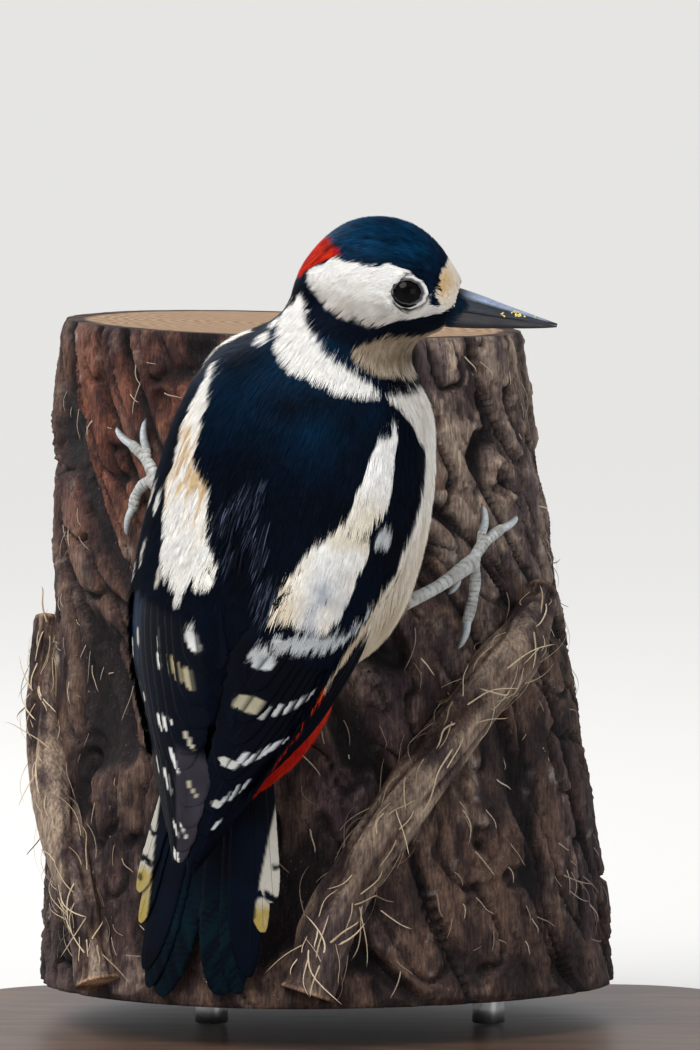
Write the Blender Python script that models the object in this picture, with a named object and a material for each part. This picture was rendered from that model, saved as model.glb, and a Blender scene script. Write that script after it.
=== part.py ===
"""A great spotted woodpecker clinging to a short length of trunk, on a plain display stand.

Lengths are in millimetres and become metres where a mesh is made. +Z is up, -Y is the side that the
bird's back faces, and the origin is the middle of the stand's underside. The bird is modelled whole
from lofts, fused, then parted with thin cuts into the pieces that a person would name.
"""

import math

import bmesh
import bpy
from mathutils import Matrix, Vector

MM = 0.001
GAP = 0.35  # between pieces that touch

# Stand
BASE_WIDTH, BASE_DEPTH, BASE_HEIGHT = 196.0, 212.0, 12.0
BASE_CORNER, BASE_EDGE = 34.0, 2.5
ROD_RADIUS, ROD_LENGTH, ROD_SPREAD, ROD_BACK = 4.0, 10.0, 34.0, 12.0

# Cut length of trunk
LOG_BOTTOM = BASE_HEIGHT + ROD_LENGTH
LOG_TOP, LOG_TOP_SLOPE = 183.0, -0.03
LOG_FOOT, LOG_HEAD = (-6.0, 26.0, 76.0), (-14.0, 24.0, 60.0)  # axis x, axis y, radius at each end
LOG_LOBES = ((2, 0.020, 0.6), (3, 0.014, 2.1), (5, 0.008, 0.9))  # count round, depth, turn
LOG_SIDES, LOG_RINGS = 40, 7

# Trunk of the bird: its middle, and how its axis stands
TORSO_MIDDLE = Vector((-15.0, -78.0, 141.0))
TORSO_LEAN, TORSO_PITCH, TORSO_ROLL = 15.0, 16.0, 13.0
# along the axis: half width, height over the axis, depth under it, and how far its middle lies to the right
TORSO = (
    (54, 11.0, 9.5, 11.0, 0.6),
    (47, 16.2, 14.5, 17.0, 0.4),
    (41, 22.1, 17.6, 20.0, -0.5),
    (36, 27.4, 20.0, 22.5, -1.0),
    (30, 28.8, 22.0, 24.8, -1.0),
    (24, 30.0, 23.5, 26.5, -0.3),
    (8, 32.2, 25.5, 28.5, 0.0),
    (-10, 32.3, 25.0, 27.5, 0.0),
    (-20, 30.4, 23.2, 25.3, -0.5),
    (-25, 28.4, 22.2, 23.8, -1.4),
    (-30, 24.9, 20.8, 22.2, -3.1),
    (-34, 23.8, 19.4, 20.6, -2.9),
    (-39, 23.1, 17.4, 18.4, -1.7),
    (-44, 22.0, 15.4, 16.2, -0.3),
    (-52, 18.3, 12.0, 12.5, 0.8),
    (-58, 15.6, 10.0, 10.4, 1.2),
    (-63, 12.3, 8.5, 8.5, 0.9),
    (-72, 7.0, 4.5, 4.5, 0.0),
)
# along the torso axis: half width and height of the folded wings' outer face, the angles from the
# spine that they reach from and to, and their thickness
WINGS = {
    "right": (
        (37, 26.2, 20.6, 50.0, 64.0, 1.8),
        (27, 30.0, 24.5, 38.0, 78.0, 3.0),
        (16, 32.8, 26.3, 32.0, 79.0, 3.4),
        (0, 34.0, 26.8, 24.0, 66.0, 3.4),
        (-18, 33.5, 25.2, 13.0, 53.0, 3.4),
        (-31, 30.5, 21.8, 6.0, 48.5, 3.2),
        (-44, 26.0, 17.4, 4.0, 48.0, 2.8),
        (-59, 17.6, 14.4, 4.5, 50.0, 2.2),
        (-71, 12.5, 11.4, 6.0, 46.0, 2.0),
        (-82, 7.5, 9.0, 9.0, 42.0, 1.6),
        (-88, 4.6, 8.0, 12.0, 36.0, 1.2),
    ),
    "left": (
        (37, 28.0, 20.0, 50.0, 66.0, 1.6),
        (27, 31.4, 24.5, 38.0, 82.0, 3.0),
        (16, 32.8, 26.3, 32.0, 88.0, 3.4),
        (0, 33.4, 26.8, 24.0, 86.0, 3.4),
        (-18, 33.0, 25.4, 13.0, 83.0, 3.4),
        (-31, 31.8, 22.0, 6.0, 80.0, 3.2),
        (-44, 28.2, 17.8, 4.0, 78.0, 2.8),
        (-59, 21.0, 14.6, 4.5, 78.0, 2.4),
        (-71, 15.5, 11.8, 6.0, 76.0, 2.2),
        (-82, 10.0, 9.4, 6.0, 72.0, 2.0),
        (-90, 6.5, 8.2, 6.0, 60.0, 1.4),
    ),
}
WING_RINGS, WING_SIDES = 15, 5

# Head
HEAD_MIDDLE = Vector((6.4, -90.0, 197.8))
HEAD_PITCH, HEAD_YAW = -9.0, 0.0
# from nape to bill: half width, top, bottom
HEAD = (
    (-19.5, 4.5, 0.0, -7.0),
    (-17.5, 8.5, 5.0, -10.0),
    (-13.0, 11.8, 11.8, -12.5),
    (-7.5, 13.6, 16.0, -13.6),
    (-1.0, 14.2, 17.6, -13.8),
    (5.0, 13.6, 17.2, -13.0),
    (10.0, 12.0, 15.2, -11.0),
    (14.0, 9.8, 12.0, -8.8),
    (17.5, 7.4, 8.0, -7.2),
    (21.0, 5.0, 4.6, -6.2),
)
EYE_RADIUS, EYE_PLACE = 4.6, Vector((8.9, 6.85, 0.9))
# along the bill: half width, ridge, lowest line
BILL = (
    (17.0, 4.7, 3.7, -6.1),
    (20.0, 4.3, 3.3, -6.0),
    (25.0, 3.5, 2.4, -5.4),
    (30.0, 2.7, 1.3, -4.6),
    (36.0, 1.8, 0.1, -3.7),
    (40.5, 1.2, -0.8, -2.9),
    (43.4, 0.5, -1.35, -2.25),
)
BILL_SEAM = -1.75

# Neck: from inside the trunk to inside the head
NECK_RADII = (23.0, 19.6, 14.2, 11.9, 10.5)

# Tail
TAIL_ROOT, TAIL_TIP = Vector((-28.0, -65.0, 106.0)), Vector((-40.0, -44.5, 25.0))
TAIL_ROLL = 27.0
TAIL_THICKNESS, TAIL_ARCH = 1.5, 0.010
# place across the tail and reach of each feather's tip, from the right outer feather to the left outer one
TAIL_FEATHERS = ((-19.4, 55.5), (-18.0, 63.5), (-17.2, 75.5), (-15.0, 80.5), (-12.2, 82.0),
                 (11.0, 87.0), (13.2, 86.0), (15.0, 82.0), (17.2, 71.0), (19.0, 63.5))
TAIL_NOTCH, TAIL_STEP, TAIL_EDGE = (1.5, 59.0), 3.0, 1.6
TAIL_START = 20.0  # where it leaves the trunk
TAIL_CORNERS = 4.0, 10.0  # how far short of the right and left outer tips their outer edges end
TAIL_SPREAD = {"right": (0.70, 1.0), "left": (0.45, 0.5)}  # how narrow it starts, and how soon it widens

# Legs: heel in space, then the foot and the toes as (x, z) on the trunk's face
THIGH_RADII = (11.0, 9.5, 6.5, 3.2)
TARSUS_RADIUS, TOE_RADIUS, CLAW_RADIUS, CLAW_LENGTH = 1.75, 1.35, 0.95, 7.0
LEGS = {
    "right": {
        "hip": (6.0, -12.0, -10.0),
        "heel": Vector((12.5, -45.0, 119.5)),
        "foot": (28.0, 128.5),
        "toes": {
            "inner": ((32.6, 141.0), 7.5, -0.4),
            "middle": ((39.5, 140.0), 10.5, 0.4),
            "outer": ((26.5, 106.5), 15.0, 0.6),
            "hind": ((22.0, 121.0), 5.5, -0.4),
        },
    },
    "left": {
        "hip": (-8.0, 0.0, -10.0),
        "heel": Vector((-36.5, -48.0, 137.0)),
        "foot": (-45.5, 148.5),
        "toes": {
            "inner": ((-49.8, 161.8), 8.5, 0.4),
            "middle": ((-55.0, 161.5), 10.5, -0.4),
            "outer": ((-54.5, 137.0), 9.5, -0.9),
            "hind": ((-41.0, 140.0), 5.5, 0.4),
        },
    },
}

# Woody climbers grown onto the trunk: angle round it in degrees, height and radius at each place
CLIMBERS = {
    "perch_climber_right": ((63, 120, 4.0), (50, 108, 7.2), (32, 90, 7.0), (15, 67, 6.6), (3, 46, 7.0),
                            (-3, 26, 7.2)),
    "perch_climber_left": ((-82, 112, 3.0), (-75, 92, 5.0), (-63, 68, 5.6), (-52, 46, 5.4), (-46, 26, 6.0)),
}

COLOURS = {
    "plumage_black": ((0.012, 0.016, 0.03, 1), 0.4, 0.0),
    "plumage_head": ((0.75, 0.72, 0.64, 1), 0.7, 0.0),
    "plumage_buff": ((0.62, 0.55, 0.44, 1), 0.8, 0.0),
    "horn": ((0.06, 0.065, 0.08, 1), 0.35, 0.0),
    "eye": ((0.02, 0.012, 0.01, 1), 0.05, 0.0),
    "leg_skin": ((0.36, 0.37, 0.36, 1), 0.6, 0.0),
    "bark": ((0.16, 0.11, 0.09, 1), 0.9, 0.0),
    "climber_bark": ((0.23, 0.17, 0.13, 1), 0.9, 0.0),
    "stand_wood": ((0.13, 0.07, 0.045, 1), 0.4, 0.0),
    "stand_rod": ((0.5, 0.5, 0.5, 1), 0.3, 1.0),
}


def material(name):
    """The named finish, made once."""
    made = bpy.data.materials.get(name)
    if made is None:
        made = bpy.data.materials.new(name)
        made.use_nodes = True
        colour, roughness, metallic = COLOURS[name]
        shader = made.node_tree.nodes["Principled BSDF"]
        shader.inputs["Base Color"].default_value = colour
        shader.inputs["Roughness"].default_value = roughness
        shader.inputs["Metallic"].default_value = metallic
    return made


def placed(name, mesh, finish):
    mesh.materials.clear()
    mesh.materials.append(material(finish))
    mesh.shade_smooth()
    made = bpy.data.objects.new(name, mesh)
    bpy.context.scene.collection.objects.link(made)
    return made


def rings_mesh(name, rings):
    """A closed mesh through rings of points, each ring in order, with its two ends capped."""
    points = [Vector(p) * MM for ring in rings for p in ring]
    sides = len(rings[0])
    faces = [
        (i * sides + j, i * sides + (j + 1) % sides, (i + 1) * sides + (j + 1) % sides, (i + 1) * sides + j)
        for i in range(len(rings) - 1)
        for j in range(sides)
    ]
    faces += [tuple(range(sides)), tuple(reversed(range((len(rings) - 1) * sides, len(rings) * sides)))]
    mesh = bpy.data.meshes.new(name)
    mesh.from_pydata(points, [], faces)
    shape = bmesh.new()
    shape.from_mesh(mesh)
    bmesh.ops.triangulate(shape, faces=[f for f in shape.faces if len(f.verts) > 4])
    bmesh.ops.recalc_face_normals(shape, faces=shape.faces)
    shape.to_mesh(mesh)
    shape.free()
    return mesh


def between(table, at):
    """The row of a table at a place, on a smooth curve through its rows. The first column is the place."""
    rows = sorted(table)
    at = min(max(at, rows[0][0]), rows[-1][0])
    i = max(k for k in range(len(rows) - 1) if rows[k][0] <= at)
    low, high = rows[i], rows[i + 1]
    before, after = rows[max(i - 1, 0)], rows[min(i + 2, len(rows) - 1)]
    step = high[0] - low[0]
    t = (at - low[0]) / step
    found = []
    for c in range(1, len(low)):
        start = (high[c] - before[c]) / (high[0] - before[0]) * step
        end = (after[c] - low[c]) / (after[0] - low[0]) * step
        found.append(
            (2 * t**3 - 3 * t**2 + 1) * low[c] + (t**3 - 2 * t**2 + t) * start
            + (3 * t**2 - 2 * t**3) * high[c] + (t**3 - t**2) * end
        )
    return found


def along(points, t):
    """The point at share t of a smooth curve through the points."""
    rows = [(i / (len(points) - 1), *p) for i, p in enumerate(points)]
    return Vector(between(rows, t))


def frame(middle, forward, up):
    """A frame with X to the bird's right, Y forward and Z up."""
    y = Vector(forward).normalized()
    x = y.cross(Vector(up)).normalized()
    z = x.cross(y)
    return Matrix.Translation(middle) @ Matrix((x, y, z)).transposed().to_4x4()


def torso_frame():
    forward = Vector((math.tan(math.radians(TORSO_LEAN)), -math.tan(math.radians(TORSO_PITCH)), 1.0))
    roll = Matrix.Rotation(math.radians(-TORSO_ROLL), 4, forward)
    return frame(TORSO_MIDDLE, forward, roll @ Vector((0, -1, 0)))


def head_frame():
    pitch, yaw = math.radians(HEAD_PITCH), math.radians(HEAD_YAW)
    forward = Vector((math.cos(pitch) * math.cos(yaw), math.sin(yaw), math.sin(pitch)))
    return frame(HEAD_MIDDLE, forward, Vector((0, 0, 1)))


def tail_frame():
    """Y runs from the tail's root to its tips, Z stands off its upper face."""
    forward = TAIL_TIP - TAIL_ROOT
    roll = math.radians(TAIL_ROLL)
    return frame(TAIL_ROOT, forward, Vector((-math.sin(roll), -math.cos(roll), 0)))


def oval(half_width, top, bottom, sides, power=2.3):
    """A ring of (x, z) points, rounder than a rectangle and fuller than an ellipse."""
    ring = []
    for k in range(sides):
        c, s = math.cos(2 * math.pi * k / sides), math.sin(2 * math.pi * k / sides)
        x = half_width * math.copysign(abs(c) ** (2 / power), c)
        middle, half = (top + bottom) / 2, (top - bottom) / 2
        ring.append((x, middle + half * math.copysign(abs(s) ** (2 / power), s)))
    return ring


def loft(name, table, place, count, sides, power=2.3):
    """A closed body along Y of a frame, from a table of half width, top, bottom and, if it has one, shift."""
    rows = sorted(table)
    rings = []
    for i in range(count):
        y = rows[0][0] + (rows[-1][0] - rows[0][0]) * i / (count - 1)
        half_width, top, bottom, *shift = between(table, y)
        ring = oval(half_width, top, bottom, sides, power)
        rings.append([place @ Vector((x + sum(shift), y, z)) for x, z in ring])
    return rings_mesh(name, rings)


def tube(name, points, radii, count, sides, flatten=1.0, up=Vector((0, 0, 1))):
    """A closed round body along a smooth curve, its radius read along the curve."""
    rings = []
    radius_rows = [(i / (len(radii) - 1), r) for i, r in enumerate(radii)]
    for i in range(count):
        t = i / (count - 1)
        here = along(points, t)
        ahead, behind = along(points, min(t + 0.02, 1)), along(points, max(t - 0.02, 0))
        place = frame(here, ahead - behind, up)
        radius = between(radius_rows, t)[0]
        ring = oval(radius, radius, -radius, sides, 2.0)
        rings.append([place @ Vector((x, 0, z * flatten)) for x, z in ring])
    return rings_mesh(name, rings)


def evaluated_mesh(obj):
    """The mesh of an object with its modifiers, and the object itself removed."""
    graph = bpy.context.evaluated_depsgraph_get()
    mesh = bpy.data.meshes.new_from_object(obj.evaluated_get(graph), depsgraph=graph)
    mesh.name = obj.name
    bpy.data.objects.remove(obj)
    return mesh


def helper(mesh):
    """An object that only cuts or joins, and isn't part of the model."""
    made = bpy.data.objects.new("helper_" + mesh.name, mesh)
    bpy.context.scene.collection.objects.link(made)
    made.hide_render = True
    made.display_type = "WIRE"
    return made


def combined(mesh, operation, *others):
    """The mesh after a Boolean with each of the other meshes."""
    made = helper(mesh)
    cutters = [helper(other.copy()) for other in others]
    for cutter in cutters:
        change = made.modifiers.new("cut", "BOOLEAN")
        change.operation, change.object, change.solver = operation, cutter, "EXACT"
    found = evaluated_mesh(made)
    for cutter in cutters:
        bpy.data.objects.remove(cutter)
    return found


def fused(name, meshes, voxel, smooth, keep):
    """Overlapping closed meshes as one smooth skin, thinned to a share of its triangles."""
    shape = bmesh.new()
    for mesh in meshes:
        shape.from_mesh(mesh)
    joined = bpy.data.meshes.new(name)
    shape.to_mesh(joined)
    shape.free()
    made = helper(joined)
    remesh = made.modifiers.new("remesh", "REMESH")
    remesh.mode, remesh.voxel_size = "VOXEL", voxel * MM
    soften = made.modifiers.new("soften", "SMOOTH")
    soften.factor, soften.iterations = 0.5, smooth
    thin = made.modifiers.new("thin", "DECIMATE")
    thin.ratio = keep
    return evaluated_mesh(made)


def half_space(name, point, normal, size=160.0):
    """A box that fills the side of a plane that its normal points to."""
    place = frame(point, normal, Vector((0.1, 1.0, 0.2)))
    corners = [(-size, -size), (size, -size), (size, size), (-size, size)]
    return rings_mesh(name, [[place @ Vector((x, y, z)) for x, z in corners] for y in (0.0, 2 * size)])


# The trunk that it clings to


def log_axis(z):
    t = (z - LOG_BOTTOM) / (LOG_TOP - LOG_BOTTOM)
    return [low + (high - low) * t for low, high in zip(LOG_FOOT, LOG_HEAD)]


def log_radius(angle, z, grow=0.0):
    radius = log_axis(z)[2]
    lobes = sum(depth * (math.cos(count * angle + turn) - 1) for count, depth, turn in LOG_LOBES)
    return radius * (1 + lobes) + grow


def log_point(angle, z, grow=0.0):
    """A point of the trunk's face. Angle 0 faces -Y and grows towards +X."""
    x, y, _ = log_axis(z)
    radius = log_radius(angle, z, grow)
    return Vector((x + radius * math.sin(angle), y - radius * math.cos(angle), z))


def on_log(x, z, grow=0.0):
    """The point of the trunk's near face at x and z."""
    low, high = -math.pi / 2, math.pi / 2
    for _ in range(40):
        middle = (low + high) / 2
        low, high = (middle, high) if log_point(middle, z, grow).x < x else (low, middle)
    return log_point((low + high) / 2, z, grow)


def log_outward(x, z):
    axis = log_axis(z)
    here = on_log(x, z)
    return Vector((here.x - axis[0], here.y - axis[1], 0)).normalized()


def log_mesh(name, grow=0.0):
    rings = []
    for i in range(LOG_RINGS):
        t = i / (LOG_RINGS - 1)
        ring = []
        for k in range(LOG_SIDES):
            angle = 2 * math.pi * k / LOG_SIDES
            z = LOG_BOTTOM + (LOG_TOP - LOG_BOTTOM) * t
            point = log_point(angle, z, grow)
            point.z += LOG_TOP_SLOPE * point.x * t + (2 * t - 1) * grow
            ring.append(point)
        rings.append(ring)
    return rings_mesh(name, rings)


def climber_mesh(name, route):
    points = [log_point(math.radians(angle), z, radius * 0.4) for angle, z, radius in route]
    radii = [radius for _, _, radius in route]
    return combined(tube(name, points, radii, 12, 10), "DIFFERENCE", log_mesh("log_grown", GAP))


# The bird


def torso_mesh(place):
    table = [(y, half_width, top, -bottom, shift) for y, half_width, top, bottom, shift in TORSO]
    return loft("torso", table, place, 30, 32)


def neck_mesh(place):
    head = head_frame()
    points = [
        place @ Vector((0, 28, 0)),
        place @ Vector((-0.4, 38, 0)),
        place @ Vector((-0.6, 46, 0.5)),
        head @ Vector((0, -4.5, -7.5)),
        head @ Vector((0, -2, 2)),
    ]
    return tube("neck", points, NECK_RADII, 12, 28, up=Vector((0, -1, 0)))


def bill_mesh(name, upper, grow=0.0):
    """One half of the bill, above or below the seam between them."""
    place, rings, count = head_frame(), [], 11
    for i in range(count):
        y = BILL[0][0] + (BILL[-1][0] - BILL[0][0]) * i / (count - 1)
        half_width, ridge, keel = between(BILL, y)
        seam = BILL_SEAM + (GAP / 2 if upper else -GAP / 2)
        far = (ridge if upper else keel) - seam
        ring = []
        for k in range(9):
            angle = math.pi * k / 8
            x = half_width * math.copysign(abs(math.cos(angle)) ** (1.25 if upper else 0.9), math.cos(angle))
            ring.append((x, seam + far * math.sin(angle)))
        middle = seam + far * 0.45
        ring = [(x + math.copysign(grow, x), z + math.copysign(grow, z - middle)) for x, z in ring]
        stretch = grow * (2 * i / (count - 1) - 1)
        rings.append([place @ Vector((x, y + stretch, z)) for x, z in ring])
    return rings_mesh(name, rings)


def eye_mesh(name, side, grow=0.0):
    shape = bmesh.new()
    bmesh.ops.create_uvsphere(shape, u_segments=14, v_segments=8, radius=(EYE_RADIUS + grow) * MM)
    mesh = bpy.data.meshes.new(name)
    shape.to_mesh(mesh)
    shape.free()
    centre = head_frame() @ Vector((EYE_PLACE.x * side, EYE_PLACE.y, EYE_PLACE.z))
    mesh.transform(Matrix.Translation(centre * MM))
    return mesh


def wing_point(place, side, y, share, depth):
    """A point of a folded wing: along the torso, share 0 to 1 across it, and depth under its face."""
    half_width, height, inner, outer, _ = between(WINGS[side], y)
    angle = math.radians(inner + (outer - inner) * share)
    hand = 1 if side == "right" else -1
    face = Vector((half_width * math.sin(angle) * hand, y, height * math.cos(angle)))
    return place @ (face - Vector((math.sin(angle) * hand, 0, math.cos(angle))) * depth)


def wing_mesh(name, side, grow=0.0):
    place, rings, table = torso_frame(), [], WINGS[side]
    first, last = table[0][0], table[-1][0]
    for i in range(WING_RINGS):
        t = i / (WING_RINGS - 1)
        y = first + (last - first) * t
        half_width, height, inner, outer, thickness = between(table, y)
        spare = grow / math.radians(max((half_width + height) / 2 * (outer - inner), 1.0))
        shares = [-spare + (1 + 2 * spare) * k / WING_SIDES for k in range(WING_SIDES + 1)]
        upper = [wing_point(place, side, y, s, -grow) for s in shares]
        lower = [wing_point(place, side, y, s, thickness + grow) for s in reversed(shares)]
        shift = place.to_3x3() @ Vector((0, grow * (1 - 2 * t), 0))
        rings.append([p + shift for p in upper + lower])
    return rings_mesh(name, rings)


def tail_outline():
    """Places across the tail and how far it reaches at each: feather tips, steps and a notch."""
    (first, first_reach), (last, last_reach) = TAIL_FEATHERS[0], TAIL_FEATHERS[-1]
    right, left = TAIL_CORNERS
    rows = [(first - TAIL_EDGE, first_reach - right), (first - TAIL_EDGE * 0.6, first_reach - right * 0.3)]
    for (a, low), (b, high) in zip(TAIL_FEATHERS, TAIL_FEATHERS[1:]):
        rows.append((a, low))
        if a < 0 < b:
            inner, apex = TAIL_NOTCH
            rows += [(a + (inner - a) * t, low + (apex - low) * t**1.4) for t in (0.3, 0.55, 0.8, 0.93)]
            rows += [(b + (inner - b) * t, high + (apex - high) * t**1.4) for t in (0.93, 0.8, 0.55, 0.3)]
        else:
            rows.append(((a + b) / 2, (low + high) / 2 - TAIL_STEP))
    rows.append((last, last_reach))
    return rows + [(last + TAIL_EDGE * 0.6, last_reach - left * 0.3), (last + TAIL_EDGE, last_reach - left)]


def tail_mesh(name, grow=0.0):
    place, rings, steps = tail_frame(), [], 4
    for tip, reach in tail_outline():
        ring = []
        narrow, spread = TAIL_SPREAD["right" if tip < 0 else "left"]
        for top in (True, False):
            shares = [k / steps for k in range(steps + 1)]
            for share in shares if top else reversed(shares):
                x = tip * (narrow + (1 - narrow) * share**spread) * (1 + grow / 12)
                y = TAIL_START + (reach - TAIL_START) * share + grow * (2 * share - 1)
                z = (TAIL_THICKNESS / 2 + grow) * (1 if top else -1) - TAIL_ARCH * x * x
                ring.append(place @ Vector((x, y, z)))
        rings.append(ring)
    return rings_mesh(name, rings)


def thigh_mesh(name, side, grow=0.0):
    leg = LEGS[side]
    hip = torso_frame() @ Vector(leg["hip"])
    middle = hip.lerp(leg["heel"], 0.5)
    points = [hip, hip.lerp(middle, 0.6), middle.lerp(leg["heel"], 0.4), leg["heel"]]
    return tube(name, points, [r + grow for r in THIGH_RADII], 7, 14)


def toe_points(leg, toe):
    """A toe's middle line on the trunk's face, bowed to one side, from inside the foot to its claw."""
    (tip_x, tip_z), length, bow = leg["toes"][toe]
    foot_x, foot_z = leg["foot"]
    way = Vector((tip_x - foot_x, tip_z - foot_z)).normalized()
    across = Vector((-way.y, way.x))
    inside = 0.5 + 0.35 * list(leg["toes"]).index(toe)
    start = Vector((foot_x, foot_z)) - way * inside
    points = []
    for k in range(4):
        t = k / 3
        flat = start + way * (length + inside) * t + across * bow * math.sin(math.pi * t) * 2
        lift = TOE_RADIUS + GAP + (0.5 + inside * 0.3) * (1 - t) ** 2 + 0.25
        points.append(on_log(flat.x, flat.y) + log_outward(flat.x, flat.y) * lift)
    return points


def foot_mesh(name, leg):
    foot = on_log(*leg["foot"]) + log_outward(*leg["foot"]) * (TARSUS_RADIUS + 1.3)
    heel = leg["heel"]
    bowed = heel.lerp(foot, 0.5) + Vector((0, -0.8, -0.8))
    radii = [TARSUS_RADIUS * r for r in (1.05, 0.9, 1.25)]
    shank = tube(name, [heel.lerp(foot, 0.06), bowed, foot], radii, 7, 9)
    toes = []
    for toe in leg["toes"]:
        slim = 0.85 if toe in ("inner", "hind") else 1.0
        radii = [TOE_RADIUS * slim * r for r in (1.15, 1.0, 0.92, 0.8)]
        toes.append(tube(f"{name}_{toe}", toe_points(leg, toe), radii, 6, 7, up=log_outward(*leg["foot"])))
    return combined(shank, "UNION", *toes)


def claw_mesh(name, leg, toe):
    """A claw that starts just past its toe's end, arches off the bark and comes down to it."""
    points = toe_points(leg, toe)
    start, way = points[-1], (points[-1] - points[-2]).normalized()
    out = log_outward(start.x, start.z)
    size = CLAW_LENGTH * (0.6 if toe == "hind" else 1.0)
    start = start + way * GAP * 1.2
    route = [start, start + way * size * 0.35 + out * 0.5, start + way * size * 0.72 + out * 0.1,
             start + way * size - out * 0.75]
    radii = [CLAW_RADIUS, CLAW_RADIUS * 0.85, CLAW_RADIUS * 0.55, 0.28]
    return tube(name, route, radii, 6, 6, up=out)


def bird():
    place = torso_frame()
    flesh = [torso_mesh(place), neck_mesh(place), loft("head", HEAD, head_frame(), 24, 28, 2.15)]
    whole = fused("whole", flesh, 2.2, 8, 0.11)
    wings = {side: wing_mesh(f"wing_{side}_cut", side, GAP) for side in WINGS}
    thighs = {side: thigh_mesh(f"thigh_{side}_cut", side, GAP) for side in LEGS}
    eyes = [eye_mesh("eye_cut", sign, GAP) for sign in (-1, 1)]
    bills = [bill_mesh("bill_cut", upper, GAP) for upper in (True, False)]

    nape, throat = Vector((-9.0, -86.0, 192.5)), Vector((18.5, -86.0, 182.5))
    head_up = (throat - nape).cross(Vector((0, -1, 0))).normalized() * -1
    if head_up.z < 0:
        head_up.negate()
    shoulder, breast = Vector((-22.0, -86.0, 183.5)), Vector((24.0, -80.0, 171.5))
    trunk_up = Vector((0.27, -0.12, 0.95)).normalized()
    collar = (shoulder + breast) / 2
    over_head_cut = half_space("over", nape + head_up * GAP / 2, head_up)
    under_head_cut = half_space("under", nape - head_up * GAP / 2, -head_up)
    over_trunk_cut = half_space("over", collar + trunk_up * GAP / 2, trunk_up)
    under_trunk_cut = half_space("under", collar - trunk_up * GAP / 2, -trunk_up)

    head = combined(combined(whole, "INTERSECT", over_head_cut), "DIFFERENCE", *eyes, *bills)
    neck = combined(combined(whole, "INTERSECT", under_head_cut), "INTERSECT", over_trunk_cut)
    trunk = combined(whole, "INTERSECT", under_trunk_cut)
    trunk = combined(trunk, "DIFFERENCE", *wings.values(), *thighs.values(), tail_mesh("tail_cut", GAP))
    placed("head", head, "plumage_head")
    placed("neck", neck, "plumage_head")
    placed("trunk", trunk, "plumage_black")
    placed("bill_upper", bill_mesh("bill_upper", True), "horn")
    placed("bill_lower", bill_mesh("bill_lower", False), "horn")
    placed("tail", tail_mesh("tail"), "plumage_black")
    for side, sign in (("left", -1), ("right", 1)):
        placed(f"eye_{side}", eye_mesh(f"eye_{side}", sign), "eye")
        placed(f"wing_{side}", wing_mesh(f"wing_{side}", side), "plumage_black")
        thigh = combined(thigh_mesh(f"thigh_{side}", side), "DIFFERENCE", wings[side])
        placed(f"thigh_{side}", thigh, "plumage_buff")
        leg = LEGS[side]
        foot = combined(foot_mesh(f"foot_{side}", leg), "DIFFERENCE", thighs[side])
        placed(f"foot_{side}", foot, "leg_skin")
        for toe in leg["toes"]:
            placed(f"claw_{side}_{toe}", claw_mesh(f"claw_{side}_{toe}", leg, toe), "horn")


def perch():
    placed("perch_log", log_mesh("perch_log"), "bark")
    for name, route in CLIMBERS.items():
        placed(name, climber_mesh(name, route), "climber_bark")


def stand():
    shape = bmesh.new()
    bmesh.ops.create_cube(shape, size=1.0)
    bmesh.ops.scale(shape, vec=Vector((BASE_WIDTH, BASE_DEPTH, BASE_HEIGHT)) * MM, verts=shape.verts)
    bmesh.ops.translate(shape, vec=Vector((0, 0, BASE_HEIGHT / 2 * MM)), verts=shape.verts)
    upright = [e for e in shape.edges if abs(e.verts[0].co.z - e.verts[1].co.z) > BASE_HEIGHT / 2 * MM]
    bmesh.ops.bevel(shape, geom=upright, offset=BASE_CORNER * MM, segments=8, affect="EDGES", profile=0.5)
    rim = [e for e in shape.edges if all(v.co.z > (BASE_HEIGHT - 0.01) * MM for v in e.verts)]
    bmesh.ops.bevel(shape, geom=rim, offset=BASE_EDGE * MM, segments=2, affect="EDGES", profile=0.5)
    mesh = bpy.data.meshes.new("stand_base")
    shape.to_mesh(mesh)
    shape.free()
    placed("stand_base", mesh, "stand_wood")
    for name, x in (("stand_rod_left", -ROD_SPREAD), ("stand_rod_right", ROD_SPREAD)):
        low, high = BASE_HEIGHT + GAP, LOG_BOTTOM - GAP
        turns = [math.tau * k / 20 for k in range(20)]
        ring = [(ROD_RADIUS * math.cos(turn), ROD_RADIUS * math.sin(turn)) for turn in turns]
        rings = [[(x + u, ROD_BACK + v, z) for u, v in ring] for z in (low, high)]
        placed(name, rings_mesh(name, rings), "stand_rod")


def main():
    for obj in list(bpy.data.objects):
        bpy.data.objects.remove(obj)
    stand()
    perch()
    bird()


main()
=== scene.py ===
"""A male great spotted woodpecker in its feathers, clinging to a barked length of trunk on a plain stand.

Lengths are in millimetres here and become metres where a mesh is made. +Z is up and the bird's back
faces -Y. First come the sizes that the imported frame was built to, then the charts that the markings
are drawn on, the coat, the flight feathers, the bare parts, the trunk, the stand and the studio.
"""
import math

import bmesh
import bpy
import numpy as np
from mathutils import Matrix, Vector
from mathutils.bvhtree import BVHTree


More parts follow.
